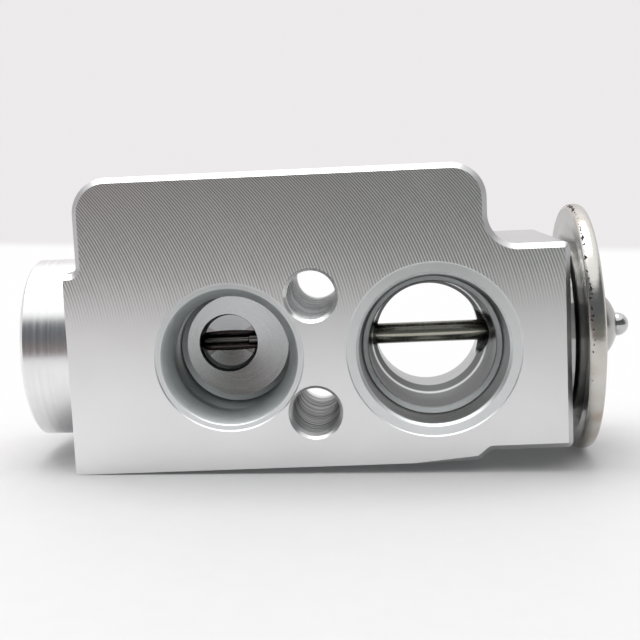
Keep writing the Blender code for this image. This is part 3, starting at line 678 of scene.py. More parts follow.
@dataclass
class MachinedBlock:
    """The aluminium block: an extruded blank with milled faces, a turned boss, ports and bores."""

    axis: Axis
    length: float = 61.1 * MM
    depth: float = 28.0 * MM
    ridge_height: float = 22.05 * MM
    keel_depth: float = 14.15 * MM
    ridge_start: float = 1.6 * MM
    ridge_setback: float = 9.7 * MM
    foot_shelf: float = 10.65 * MM
    head_shelf: float = 12.1 * MM
    head_keel: float = 12.95 * MM
    notch_length: float = 9.9 * MM
    notch_run: float = 1.5 * MM
    edge_chamfer: float = 0.65 * MM
    ridge_fillet: float = 4.3 * MM
    head_fillet: float = 3.7 * MM
    foot_fillet: float = 0.8 * MM
    end_corner: float = 0.7 * MM
    boss_diameter: float = 23.2 * MM
    boss_chamfer: float = 0.4 * MM
    port_drop: float = 0.25 * MM
    outlet_x: float = 19.7 * MM
    port_spacing: float = 24.9 * MM
    inlet_x: float = 8.8 * MM
    spotface_depth: float = 0.15 * MM
    lip_chamfer: float = 0.3 * MM
    outlet_lip: float = 0.15 * MM
    outlet_spotface: float = 18.3 * MM
    outlet_mouth: float = 16.86 * MM
    outlet_bore: float = 14.4 * MM
    outlet_gland: float = 3.0 * MM
    outlet_depth: float = 10.5 * MM
    outlet_bevel: float = 0.6 * MM
    pocket_diameter: float = 7.62 * MM
    pocket_offset: float = 1.25 * MM
    pocket_depth: float = 2.6 * MM
    pocket_bevel: float = 0.4 * MM
    suction_spotface: float = 21.4 * MM
    suction_mouth: float = 18.36 * MM
    suction_gland: float = 17.1 * MM
    suction_gland_depth: float = 3.9 * MM
    suction_bore: float = 15.8 * MM
    shoulder_depth: float = 10.2 * MM
    throat: float = 13.74 * MM
    throat_depth: float = 12.5 * MM
    line_mouth: float = 17.2 * MM
    line_gland: float = 16.2 * MM
    line_gland_depth: float = 2.6 * MM
    line_depth: float = 8.5 * MM
    inlet_spotface: float = 15.8 * MM
    inlet_mouth: float = 14.2 * MM
    inlet_bore: float = 12.6 * MM
    inlet_gland: float = 2.4 * MM
    inlet_depth: float = 6.8 * MM
    inlet_passage: float = 5.6 * MM
    passage_shift: float = 2.1 * MM
    mount_x: float = 29.95 * MM
    mount_spacing: float = 14.35 * MM
    mount_diameter: float = 6.0 * MM
    countersink: float = 0.35 * MM
    mount_relief: float = 7.4 * MM
    relief_depth: float = 2.6 * MM
    screw_bore: float = 13.0 * MM
    screw_bore_depth: float = 3.2 * MM
    chamber_bore: float = 10.4 * MM
    chamber_cone: float = 0.8 * MM
    seat_x: float = 9.6 * MM
    seat_mouth: float = 4.4 * MM
    orifice: float = 3.0 * MM
    pin_guide: float = 2.0 * MM
    seal_recess_x: float = 33.0 * MM
    rod_hole: float = 3.5 * MM
    head_opening: float = 6.6 * MM
    neck_bore: float = 17.9 * MM
    neck_bore_depth: float = 6.5 * MM
    gasket_groove: float = 20.4 * MM
    gasket_depth: float = 1.35 * MM
    floor_cone: float = 0.8 * MM
    drilled_radius: float = 1.8 * MM
    skin: float = 0.1 * MM
    suction_x: float = field(init=False)
    pocket_x: float = field(init=False)

    def __post_init__(self) -> None:
        """Works out the places that several pieces share."""
        self.suction_x = self.outlet_x + self.port_spacing
        self.pocket_x = self.outlet_x - self.pocket_offset

    def drilling(self, x: float, z: float, side: int = -1) -> Spindle:
        """A drilling axis from the evaporator face (-1) or the line face (1)."""
        return Spindle(self.axis.foot + Vector((x, side * self.depth / 2, z)), Vector((0.0, -side, 0.0)))

    def mount_hole(self, side: int) -> Spindle:
        """The axis of the upper (1) or lower (-1) mounting hole."""
        return self.drilling(self.mount_x, side * self.mount_spacing / 2 - self.port_drop)

    def blank(self) -> bpy.types.Object:
        """The extruded profile with chamfered face edges."""
        ridge_end = self.length - self.ridge_setback
        notch = self.length - self.notch_length
        start = -2 * OVERRUN
        outline = rounded([
            (start, -self.keel_depth, 0, 0),
            (notch - self.notch_run, -self.keel_depth, self.end_corner, 4),
            (notch, -self.head_keel, self.end_corner, 4),
            (self.length, -self.head_keel, self.end_corner, 4),
            (self.length, self.head_shelf, self.end_corner, 5),
            (ridge_end, self.head_shelf, self.head_fillet, 24),
            (ridge_end, self.ridge_height, self.ridge_fillet, 24),
            (self.ridge_start, self.ridge_height, self.ridge_fillet, 24),
            (self.ridge_start, self.foot_shelf, self.foot_fillet, 10),
            (start, self.foot_shelf, 0, 0),
        ])
        work = bmesh.new()
        half = Vector((0.0, self.depth / 2, 0.0))
        places = [self.axis.foot + Vector((x, 0.0, z)) for x, z in outline]
        near = [work.verts.new(place - half) for place in places]
        far = [work.verts.new(place + half) for place in places]
        work.faces.new(near)
        work.faces.new(reversed(far))
        count = len(outline)
        edges = []
        for i in range(count):
            j = (i + 1) % count
            work.faces.new((near[j], near[i], far[i], far[j]))
            if 0 < i < count - 1:
                edges += [work.edges.get((near[i], near[j])), work.edges.get((far[i], far[j]))]
        bmesh.ops.recalc_face_normals(work, faces=work.faces)
        bmesh.ops.bevel(work, geom=edges, offset=self.edge_chamfer, segments=1, affect="EDGES")
        return finished("machined_block", work)

    def facing(self) -> bpy.types.Object:
        """The cut that squares the foot face."""
        work = bmesh.new()
        reach = 4 * OVERRUN
        place = Matrix.Translation(self.axis.foot - Vector((reach / 2, 0, 0)))
        size = Matrix.Diagonal((reach, 2 * self.depth, 4 * self.ridge_height, 1))
        bmesh.ops.create_cube(work, size=1, matrix=place @ size)
        return finished("foot_facing", work)

    def boss(self) -> bpy.types.Object:
        """The turned boss round the adjusting screw."""
        start = -self.axis.boss_length
        return cutter("boss_blank", self.axis.spindle, Steps.LARGE, [
            (start, self.boss_diameter - 2 * self.boss_chamfer),
            (start + self.boss_chamfer, self.boss_diameter),
            (self.ridge_start + OVERRUN, self.boss_diameter),
        ])

    def gland(self, spotface: float, mouth: float, bore: float, end: float, chamfer: float) -> list[Point]:
        """A port's start: spot face with a sloping edge, bright lip chamfer and conical O-ring gland."""
        floor = self.spotface_depth
        return [
            (-OVERRUN, spotface + 2 * OVERRUN), (floor, spotface - 2 * floor),
            (floor, mouth + 2 * chamfer), (floor + chamfer, mouth), (end, bore),
        ]

    def outlet_tools(self) -> list[bpy.types.Object]:
        """The blind outlet port, and the eccentric pocket in its floor."""
        floor, bore = self.outlet_depth, self.outlet_bore
        mouth = self.outlet_mouth - 2 * self.outlet_lip
        end, pocket = floor + self.pocket_depth, self.pocket_diameter
        port = self.gland(self.outlet_spotface, mouth, bore, self.outlet_gland, self.lip_chamfer / 2)
        port += [
            (floor - self.outlet_bevel, bore), (floor, bore - 2 * self.outlet_bevel),
            (floor + self.floor_cone, 0),
        ]
        return [
            cutter("outlet_port", self.drilling(self.outlet_x, -self.port_drop), Steps.LARGE, port),
            cutter("outlet_pocket", self.drilling(self.pocket_x, 0), Steps.MIDDLE, [
                (floor - OVERRUN, pocket), (end - self.pocket_bevel, pocket),
                (end, pocket - 2 * self.pocket_bevel), (end + self.floor_cone / 2, 0),
            ]),
        ]

    def suction_tool(self) -> bpy.types.Object:
        """The passage through the block, with a gland at each end."""
        step_down = (self.suction_gland - self.suction_bore) / 2
        end = self.depth - self.spotface_depth
        line = self.depth - self.line_depth
        start = self.gland(self.suction_spotface, self.suction_mouth, self.suction_gland,
                           self.suction_gland_depth, self.lip_chamfer)
        spindle = self.drilling(self.suction_x, -self.port_drop)
        return cutter("suction_passage", spindle, Steps.LARGE, start + [
            (self.suction_gland_depth + step_down, self.suction_bore),
            (self.shoulder_depth, self.suction_bore),
            (self.throat_depth, self.throat), (line, self.throat),
            (line, self.line_gland), (self.depth - self.line_gland_depth, self.line_gland),
            (end - self.lip_chamfer, self.line_mouth),
            (end, self.line_mouth + 2 * self.lip_chamfer),
            (end, self.suction_spotface), (self.depth + OVERRUN, self.suction_spotface),
        ])

    def inlet_tools(self) -> list[bpy.types.Object]:
        """The liquid inlet port on the line side, and its drilling into the valve chamber."""
        port = self.gland(self.inlet_spotface, self.inlet_mouth, self.inlet_bore, self.inlet_gland,
                          self.lip_chamfer)
        port.append((self.inlet_depth, self.inlet_bore))
        end = self.depth / 2 - self.chamber_bore / 4
        passage = self.drilling(self.inlet_x - self.passage_shift, 0, 1)
        return [
            cutter("inlet_port", self.drilling(self.inlet_x, -self.port_drop, 1), Steps.LARGE, port),
            cutter("inlet_drilling", passage, Steps.MIDDLE, [
                (self.inlet_depth - OVERRUN, self.inlet_passage), (end, self.inlet_passage),
            ]),
        ]

    def mount_tools(self) -> list[bpy.types.Object]:
        """The two M6 through holes, upper one first."""
        mouth = self.mount_diameter + 2 * self.countersink
        relief = self.depth - self.relief_depth
        stops = [
            (-OVERRUN, mouth), (0, mouth), (self.countersink, self.mount_diameter),
            (relief, self.mount_diameter), (relief, self.mount_relief),
            (self.depth + OVERRUN, self.mount_relief),
        ]
        holes = (("upper_mount_hole", 1), ("lower_mount_hole", -1))
        return [cutter(name, self.mount_hole(side), Steps.MIDDLE, stops) for name, side in holes]

    def axial_tools(self) -> list[bpy.types.Object]:
        """The bores along the valve axis: for screw and seat, for pin and rod, and for the head's neck."""
        start = -self.axis.boss_length
        mouth = self.screw_bore + 2 * self.boss_chamfer
        seat_end = self.seat_x + (self.seat_mouth - self.orifice) / 2
        pocket = self.pocket_diameter
        orifice_end = self.pocket_x + pocket / 2 + OVERRUN
        neck = self.length - self.neck_bore_depth
        groove = self.length - self.gasket_depth
        spindle = self.axis.spindle
        return [
            cutter("foot_bore", spindle, Steps.MIDDLE, [
                (start - OVERRUN, mouth), (start, mouth),
                (start + self.boss_chamfer, self.screw_bore), (self.screw_bore_depth, self.screw_bore),
                (self.screw_bore_depth + self.chamber_cone, self.chamber_bore),
                (self.seat_x, self.chamber_bore), (self.seat_x, self.seat_mouth),
                (seat_end, self.orifice), (orifice_end, self.orifice),
            ]),
            cutter("rod_bore", spindle, Steps.SMALL, [
                (self.pocket_x + pocket / 4, self.pin_guide), (self.seal_recess_x, self.pin_guide),
                (self.seal_recess_x, self.rod_hole), (self.suction_x, self.rod_hole),
                (self.suction_x, self.head_opening), (neck + OVERRUN, self.head_opening),
            ]),
            cutter("head_bore", spindle, Steps.LARGE, [
                (neck, self.neck_bore), (groove, self.neck_bore),
                (groove, self.gasket_groove), (self.length + OVERRUN, self.gasket_groove),
            ]),
        ]

    def finishes(self) -> dict[Surface, Finish]:
        """The finish of each surface, in the order of the material slots."""
        foot = self.axis.foot
        drop = -self.port_drop
        half = self.mount_spacing / 2

        def bored(name: str, x: float, z: float, roughness: float, painted_light_bands: tuple[Point, ...] = (),
                  rough: tuple[Point, ...] = (), side: int = -1, **settings) -> Turned:
            """A bore's finish, with its rings round its own axis."""
            line = self.drilling(x, z, side)
            # light holds the stops of painted shade and painted highlight rings, in metres.
            light, matt = (tuple((at * MM, value) for at, value in stops) for stops in (painted_light_bands, rough))
            return Turned(name, BORED_TONE, roughness, centre=tuple(line.origin), along=tuple(line.along),
                          painted_light_bands=light, rough_bands=matt, **settings)

        # Coarse rings of strong contrast paint light and dark thread arcs on the holes' walls, a painted
        # thread shading over the wound ridges.
        painted_thread_shading = {"pitch": 1.3 * MM, "contrast": 3.6, "light": 1.16, "spread": 0.0}
        return {
            Surface.MILLED: Milled("milled_aluminium", ALUMINIUM_TONE, 0.292,
                                   centre_height=foot.z + 0.4 * MM),
            Surface.EXTRUDED: Extruded("extruded_aluminium", EXTRUDED_SHADED_TONE, 0.34),
            Surface.TURNED: self.axis.coaxial(Turned("turned_aluminium", ALUMINIUM_TONE, 0.21)),
            Surface.OUTLET: bored("bored_outlet", self.outlet_x, drop, 0.24, OUTLET_PAINTED_SHADE, OUTLET_ROUGH),
            Surface.POCKET: bored("bored_pocket", self.pocket_x, 0.0, 0.26, POCKET_PAINTED_SHADE),
            Surface.SUCTION: bored("bored_suction", self.suction_x, drop, 0.24, SUCTION_PAINTED_LIGHT,
                                   SUCTION_ROUGH),
            Surface.INLET: bored("bored_inlet", self.inlet_x, drop, 0.26, INLET_PAINTED_SHADE, side=1),
            Surface.UPPER_HOLE: bored("tapped_upper", self.mount_x, half + drop, 0.2, dark=0.76, **painted_thread_shading),
            # The lower hole's walls are painted darker than the upper one's, a painted shade.
            Surface.LOWER_HOLE: bored("tapped_lower_painted_shade", self.mount_x, drop - half, 0.3, dark=0.38, **painted_thread_shading),
            # The drilled passage is painted dark, a painted shade.
            Surface.PASSAGE: self.axis.coaxial(Turned("drilled_passage", DRILLED_PAINTED_SHADE, 0.2, depth=0.0,
                                                      contrast=0.2, spread=0.0)),
        }

    def surface(self, centre: Vector, normal: Vector) -> Surface:
        """The surface that a face belongs to, from where it is and which way it looks."""
        x, y, z = centre - self.axis.foot
        face = self.depth / 2
        out = math.hypot(y, z)
        if x < -TINY:
            return Surface.TURNED
        looks_out = abs(normal.y) > 0.99
        if looks_out and abs(abs(y) - face) < FLUSH:
            return Surface.MILLED
        is_wall = abs(normal.x) < 0.5
        if is_wall and out < self.drilled_radius and x > self.seat_x + OVERRUN:
            return Surface.PASSAGE
        if out < self.screw_bore / 2 + self.skin and x < self.seat_x + OVERRUN:
            return Surface.TURNED
        drop = -self.port_drop
        half = self.mount_spacing / 2
        near = y < 0
        off = math.hypot(x - self.outlet_x, z - drop)
        floor = self.outlet_depth + max(0.0, 1 - off / (self.outlet_bore / 2)) * self.floor_cone
        outside = x < self.length - self.neck_bore_depth or abs(y) > face - self.line_gland_depth
        tests = (
            (Surface.UPPER_HOLE, self.mount_x, half + drop, self.mount_relief, True),
            (Surface.LOWER_HOLE, self.mount_x, drop - half, self.mount_relief, True),
            (Surface.OUTLET, self.outlet_x, drop, self.outlet_spotface, y < min(0.0, floor - face + FLUSH)),
            (Surface.POCKET, self.pocket_x, 0.0, self.pocket_diameter, near),
            (Surface.SUCTION, self.suction_x, drop, self.suction_spotface, outside),
            (Surface.INLET, self.inlet_x, drop, self.inlet_spotface, not near),
        )
        for found, centre_x, centre_z, diameter, holds in tests:
            if holds and math.hypot(x - centre_x, z - centre_z) < (diameter + self.skin) / 2:
                return found
        return Surface.TURNED if out < self.gasket_groove / 2 + self.skin else Surface.EXTRUDED

    def build(self) -> None:
        """Makes the block, paints each surface by its place, and lets it stand for its node."""
        body = self.blank()
        cut(body, self.facing())
        cut(body, self.boss(), "UNION")
        tools = [*self.outlet_tools(), self.suction_tool(), *self.inlet_tools(), *self.mount_tools()]
        for tool in tools + self.axial_tools():
            cut(body, tool)
        mesh = applied(body, sharp_deg=25).data
        mesh.materials.clear()
        for finish in self.finishes().values():
            mesh.materials.append(finish.material())
        for polygon in mesh.polygons:
            polygon.material_index = self.surface(polygon.center, polygon.normal)
        settle(body, "valve", "machined_aluminium", "valve_body")


@dataclass
class WoundWire:
    """A Geometry Nodes recipe for a wire wound about an axis: a spring, or the ridge of a thread.

    Args:
        name: the new piece's name.
        turns: all the turns.
        radius: from the axis to the wire's centre.
        wire: the wire's own radius.
        pitch: the rise of an open turn.
        start: where the winding's axis starts.
        closed: how many turns lie closed at each end.
        closed_pitch: the rise of a closed turn.
        turn: the rotation of the axis from +X.
        fade: over how many turns the wire runs out at its ends.
        steps_per_turn: the sections in a turn.
        sides: the sides of the wire.
    """

    name: str
    turns: float
    radius: float
    wire: float
    pitch: float
    start: Vector
    closed: float = 0.0
    closed_pitch: float = 0.0
    turn: tuple[float, float, float] = (0.0, 0.0, 0.0)
    fade: float = 0.0
    steps_per_turn: int = 48
    sides: int = 8

    # The tree's inputs by kind, each named after the field or value that feeds it.
    INPUTS = {
        "Float": ("turns", "closed", "closed_pitch", "pitch", "radius", "wire", "fade"),
        "Int": ("points", "sides"),
        "Vector": ("start",),
        "Rotation": ("turn",),
        "Material": ("finish",),
    }
    NO_FADE = 0.001
    THINNEST = 0.05

    def tree(self) -> bpy.types.NodeTree:
        """The node tree, with the winding's sizes as named inputs."""
        found = bpy.data.node_groups.get("wound_wire")
        if found:
            return found
        tree = bpy.data.node_groups.new("wound_wire", "GeometryNodeTree")
        tree.interface.new_socket("Geometry", in_out="OUTPUT", socket_type="NodeSocketGeometry")
        for kind, names in self.INPUTS.items():
            for name in names:
                tree.interface.new_socket(name, in_out="INPUT", socket_type=f"NodeSocket{kind}")
        sketch = Sketch(tree)
        given = sketch.add("NodeGroupInput")
        turns, closed, fade = given["turns"], given["closed"], given["fade"]
        line = sketch.out("GeometryNodeCurvePrimitiveLine")
        points = sketch.out("GeometryNodeResampleCurve", {"Curve": line, "Count": given["points"]})
        turn = sketch.out("GeometryNodeSplineParameter") * turns
        open_turn = (turn - closed).at_least(0.0).at_most(turns - closed * 2.0)
        rise = open_turn * given["pitch"] + (turn - open_turn) * given["closed_pitch"]
        angle = turn * (2 * math.pi)
        across = angle.cosine() * given["radius"]
        up = angle.sine() * given["radius"]
        place = sketch.out("ShaderNodeCombineXYZ", {"X": rise, "Y": across, "Z": up})
        helix = sketch.out("GeometryNodeSetPosition", {"Geometry": points, "Position": place})
        thin = turn.at_most(turns - turn) / fade.at_least(self.NO_FADE)
        thin = thin.at_most(1.0).at_least(self.THINNEST).at_least(fade.below(self.NO_FADE))
        ring = {"Resolution": given["sides"], "Radius": given["wire"]}
        wire = sketch.out("GeometryNodeCurvePrimitiveCircle", ring)
        sweep = {"Curve": helix, "Profile Curve": wire, "Scale": thin, "Fill Caps": True}
        swept = sketch.out("GeometryNodeCurveToMesh", sweep)
        move = {"Geometry": swept, "Translation": given["start"], "Rotation": given["turn"]}
        placed = sketch.out("GeometryNodeTransform", move)
        real = sketch.out("GeometryNodeRealizeInstances", {"Geometry": placed})
        painted = sketch.out("GeometryNodeSetMaterial", {"Geometry": real, "Material": given["finish"]})
        sketch.add("NodeGroupOutput", {"Geometry": painted})
        return tree

    def wind(self, finish: Finish) -> bpy.types.Object:
        """Winds the wire and returns it as a plain mesh object."""
        points = int(self.turns * self.steps_per_turn)
        values = {**vars(self), "points": points, "start": tuple(self.start), "finish": finish.material()}
        holder = linked(self.name, bpy.data.meshes.new(self.name))
        modifier = holder.modifiers.new("winding", "NODES")
        modifier.node_group = self.tree()
        for item in modifier.node_group.interface.items_tree:
            if item.in_out == "INPUT":
                modifier[item.identifier] = values[item.name]
        return applied(holder, sharp_deg=50)


GROUND = {"depth": 0.0004 * MM, "contrast": 0.3}
ROD_FINISH = Turned("ground_rod_steel", (0.44, 0.43, 0.37), 0.17, spread=0.0, **GROUND)
# The pin is the rod's steel painted dark, a painted shade where it lies in the pocket.
SHADED_PIN_FINISH = replace(ROD_FINISH, name="pin_steel_painted_shade", colour=(0.17, 0.165, 0.16))
BRIGHT_FINISH = Turned("polished_steel", (0.58, 0.58, 0.585), 0.12, spread=0.1, **GROUND)
NECK_FINISH = Stamped("dull_neck_steel", (0.7, 0.7, 0.69), 0.36)
SPRING_FINISH = Stamped("wound_spring_steel", (0.42, 0.42, 0.43), 0.28)
BRASS_FINISH = Turned("lathe_turned_brass", (0.80, 0.60, 0.30), 0.24, pitch=0.3 * MM)
RUBBER_FINISH = Moulded("moulded_rubber", (0.03, 0.03, 0.03), 0.55)
STAINLESS_FINISH = Stamped("pressed_stainless", (0.47, 0.465, 0.45), 0.24)


@dataclass
class MountThreads:
    """The thread ridges in the two M6 mounting holes."""

    block: MachinedBlock
    pitch: float = 1.0 * MM
    ridge: float = 0.12 * MM
    margin: float = 0.6 * MM
    stand_out: float = 0.35

    def build(self) -> None:
        """Winds a ridge along each hole, most of it sunk in the wall."""
        run = self.block.depth - self.block.relief_depth - 2 * self.margin
        radius = self.block.mount_diameter / 2 + self.ridge * self.stand_out
        finishes = self.block.finishes()
        for name, side, surface in (
            ("upper_hole_thread", 1, Surface.UPPER_HOLE), ("lower_hole_thread", -1, Surface.LOWER_HOLE),
        ):
            hole = self.block.mount_hole(side)
            start = hole.origin + hole.along * self.margin
            wire = WoundWire(name, run / self.pitch, radius, self.ridge, self.pitch, start,
                             turn=(0.0, 0.0, math.pi / 2), fade=1.0)
            settle(wire.wind(finishes[surface]), "valve", "machined_aluminium")


@dataclass
class AdjustingScrew:
    """The hollow preload screw with its hexagon socket, thread and O-ring."""

    axis: Axis
    start_x: float = -6.15 * MM
    length: float = 8.5 * MM
    radius: float = 6.35 * MM
    chamfer: float = 0.5 * MM
    easing: float = 0.12 * MM
    cup: float = 8.6 * MM
    web: float = 1.4 * MM
    socket_flats: float = 7.0 * MM
    socket_depth: float = 3.4 * MM
    groove_setback: float = 0.7 * MM
    ring_section: float = 1.2 * MM
    thread_depth: float = 0.45 * MM
    thread_pitch: float = 0.75 * MM
    groove: float = field(init=False)
    groove_end: float = field(init=False)
    finish: Turned = field(init=False)

    def __post_init__(self) -> None:
        """Works out where the groove starts and ends, and the finish that screw and thread share."""
        self.groove_end = self.start_x + self.length - self.groove_setback
        self.groove = self.groove_end - self.ring_section - 2 * SEAT
        self.finish = self.axis.coaxial(BRASS_FINISH)

    def body(self) -> bpy.types.Object:
        """The screw, with its thread's root and its socket cut."""
        start, end = self.start_x, self.start_x + self.length
        root, floor = self.radius - self.thread_depth, self.radius - self.ring_section
        cup_floor = start + self.socket_depth + self.web
        profile = eased([
            (start, 0), (start, self.radius - self.chamfer), (start + self.chamfer, self.radius),
            (start + 2 * self.chamfer, self.radius), (start + 3 * self.chamfer, root),
            (self.groove - self.chamfer, root), (self.groove - self.chamfer, self.radius),
            (self.groove, self.radius), (self.groove, floor), (self.groove_end, floor),
            (self.groove_end, self.radius), (end, self.radius), (end, self.cup / 2),
            (cup_floor, self.cup / 2), (cup_floor, 0),
        ], self.easing)
        screw = turned("socket_screw", profile, self.axis.spindle, Steps.MIDDLE)
        work = bmesh.new()
        depth = self.socket_depth + OVERRUN
        middle = self.axis.foot + Vector((start + self.socket_depth - depth / 2, 0, 0))
        radius = self.socket_flats / math.sqrt(3)
        bmesh.ops.create_cone(work, cap_ends=True, segments=6, radius1=radius, radius2=radius,
                              depth=depth, matrix=Matrix.Translation(middle) @ Z_TO_X)
        cut(screw, finished("hexagon_key", work))
        return applied(screw, sharp_deg=28)

    def thread(self) -> bpy.types.Object:
        """The ridge that is wound on the root."""
        start = self.start_x + 3 * self.chamfer
        ridge = self.thread_depth / 2
        turns = (self.groove - self.chamfer - start) / self.thread_pitch
        wire = WoundWire("screw_thread", turns, self.radius - ridge, ridge, self.thread_pitch,
                         self.axis.foot + Vector((start, 0, 0)), fade=0.5, steps_per_turn=96)
        return wire.wind(self.finish)

    def ring(self, points: int = 20) -> bpy.types.Object:
        """The O-ring in its groove."""
        middle = self.groove_end - SEAT - self.ring_section / 2
        radius = self.radius - self.ring_section / 2 + SEAT / 2
        section = (self.ring_section - SEAT) / 2
        turns = [2 * math.pi * i / points for i in range(points)]
        profile = [(middle + section * math.sin(t), radius + section * math.cos(t)) for t in turns]
        return turned("screw_ring", profile, self.axis.spindle, Steps.MIDDLE, ring=True)

    def build(self) -> None:
        """Makes the screw, its thread and its O-ring."""
        settle(self.body(), "adjusting_screw", "turned_brass", "adjusting_screw", finish=self.finish)
        settle(self.thread(), "adjusting_screw", "turned_brass")
        settle(self.ring(), "screw_seal", "black_rubber", "screw_o_ring", finish=RUBBER_FINISH)


@dataclass
class SpringPack:
    """The spring and the ball in the valve chamber."""

    axis: Axis
    wire: float = 0.9 * MM
    spring_diameter: float = 6.5 * MM
    turns: float = 4.75
    end_turns: float = 0.9

    def build(self) -> None:
        """Winds the spring and makes the ball."""
        start, end = self.axis.ends("valve_spring")
        half = self.wire / 2
        closed_pitch = self.wire + SEAT
        run = end - start - self.wire - 2 * self.end_turns * closed_pitch
        spring = WoundWire("closed_end_spring", self.turns, self.spring_diameter / 2, half,
                           run / (self.turns - 2 * self.end_turns),
                           self.axis.foot + Vector((start + half, 0, 0)),
                           closed=self.end_turns, closed_pitch=closed_pitch, sides=16)
        settle(spring.wind(SPRING_FINISH), "valve", "spring_steel", "valve_spring")
        low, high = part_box("valve_ball")
        steel_ball = ball("steel_ball", (low + high) / 2, (high.x - low.x) / 2)
        settle(steel_ball, "stem", "bright_steel", "valve_ball", finish=self.axis.coaxial(BRIGHT_FINISH))


@dataclass
class Stem:
    """The stepped pin, and the rod across the suction passage."""

    axis: Axis
    pin_tip: float = 1.15 * MM
    pin: float = 1.7 * MM
    pin_easing: float = 0.15 * MM
    step_x: float = 20.8 * MM
    rod: float = 2.7 * MM
    rod_bevel: float = 0.27 * MM
    rod_easing: float = 0.1 * MM

    def turn(self, name: str, node: str, stops: list[Point], easing: float, finish: Turned) -> None:
        """Turns one piece from (station, radius) stops and lets it stand for its node."""
        piece = turned(name, eased(stops, easing), self.axis.spindle, Steps.SMALL)
        settle(piece, "stem", "rod_steel", node, finish=self.axis.coaxial(finish))

    def build(self) -> None:
        """Turns the pin and the rod with eased ends."""
        start, end = self.axis.ends("push_pin")
        tip, thick = self.pin_tip / 2, self.pin / 2
        pin = [(start, 0), (start, tip), (self.step_x, tip), (self.step_x, thick), (end, thick), (end, 0)]
        self.turn("stepped_pin", "push_pin", pin, self.pin_easing, SHADED_PIN_FINISH)
        start, end = self.axis.ends("sensing_rod")
        bevel, radius = self.rod_bevel, self.rod / 2
        rod = [
            (start, 0), (start, radius - bevel), (start + bevel, radius),
            (end - bevel, radius), (end, radius - bevel), (end, 0),
        ]
        self.turn("polished_rod", "sensing_rod", rod, self.rod_easing, ROD_FINISH)


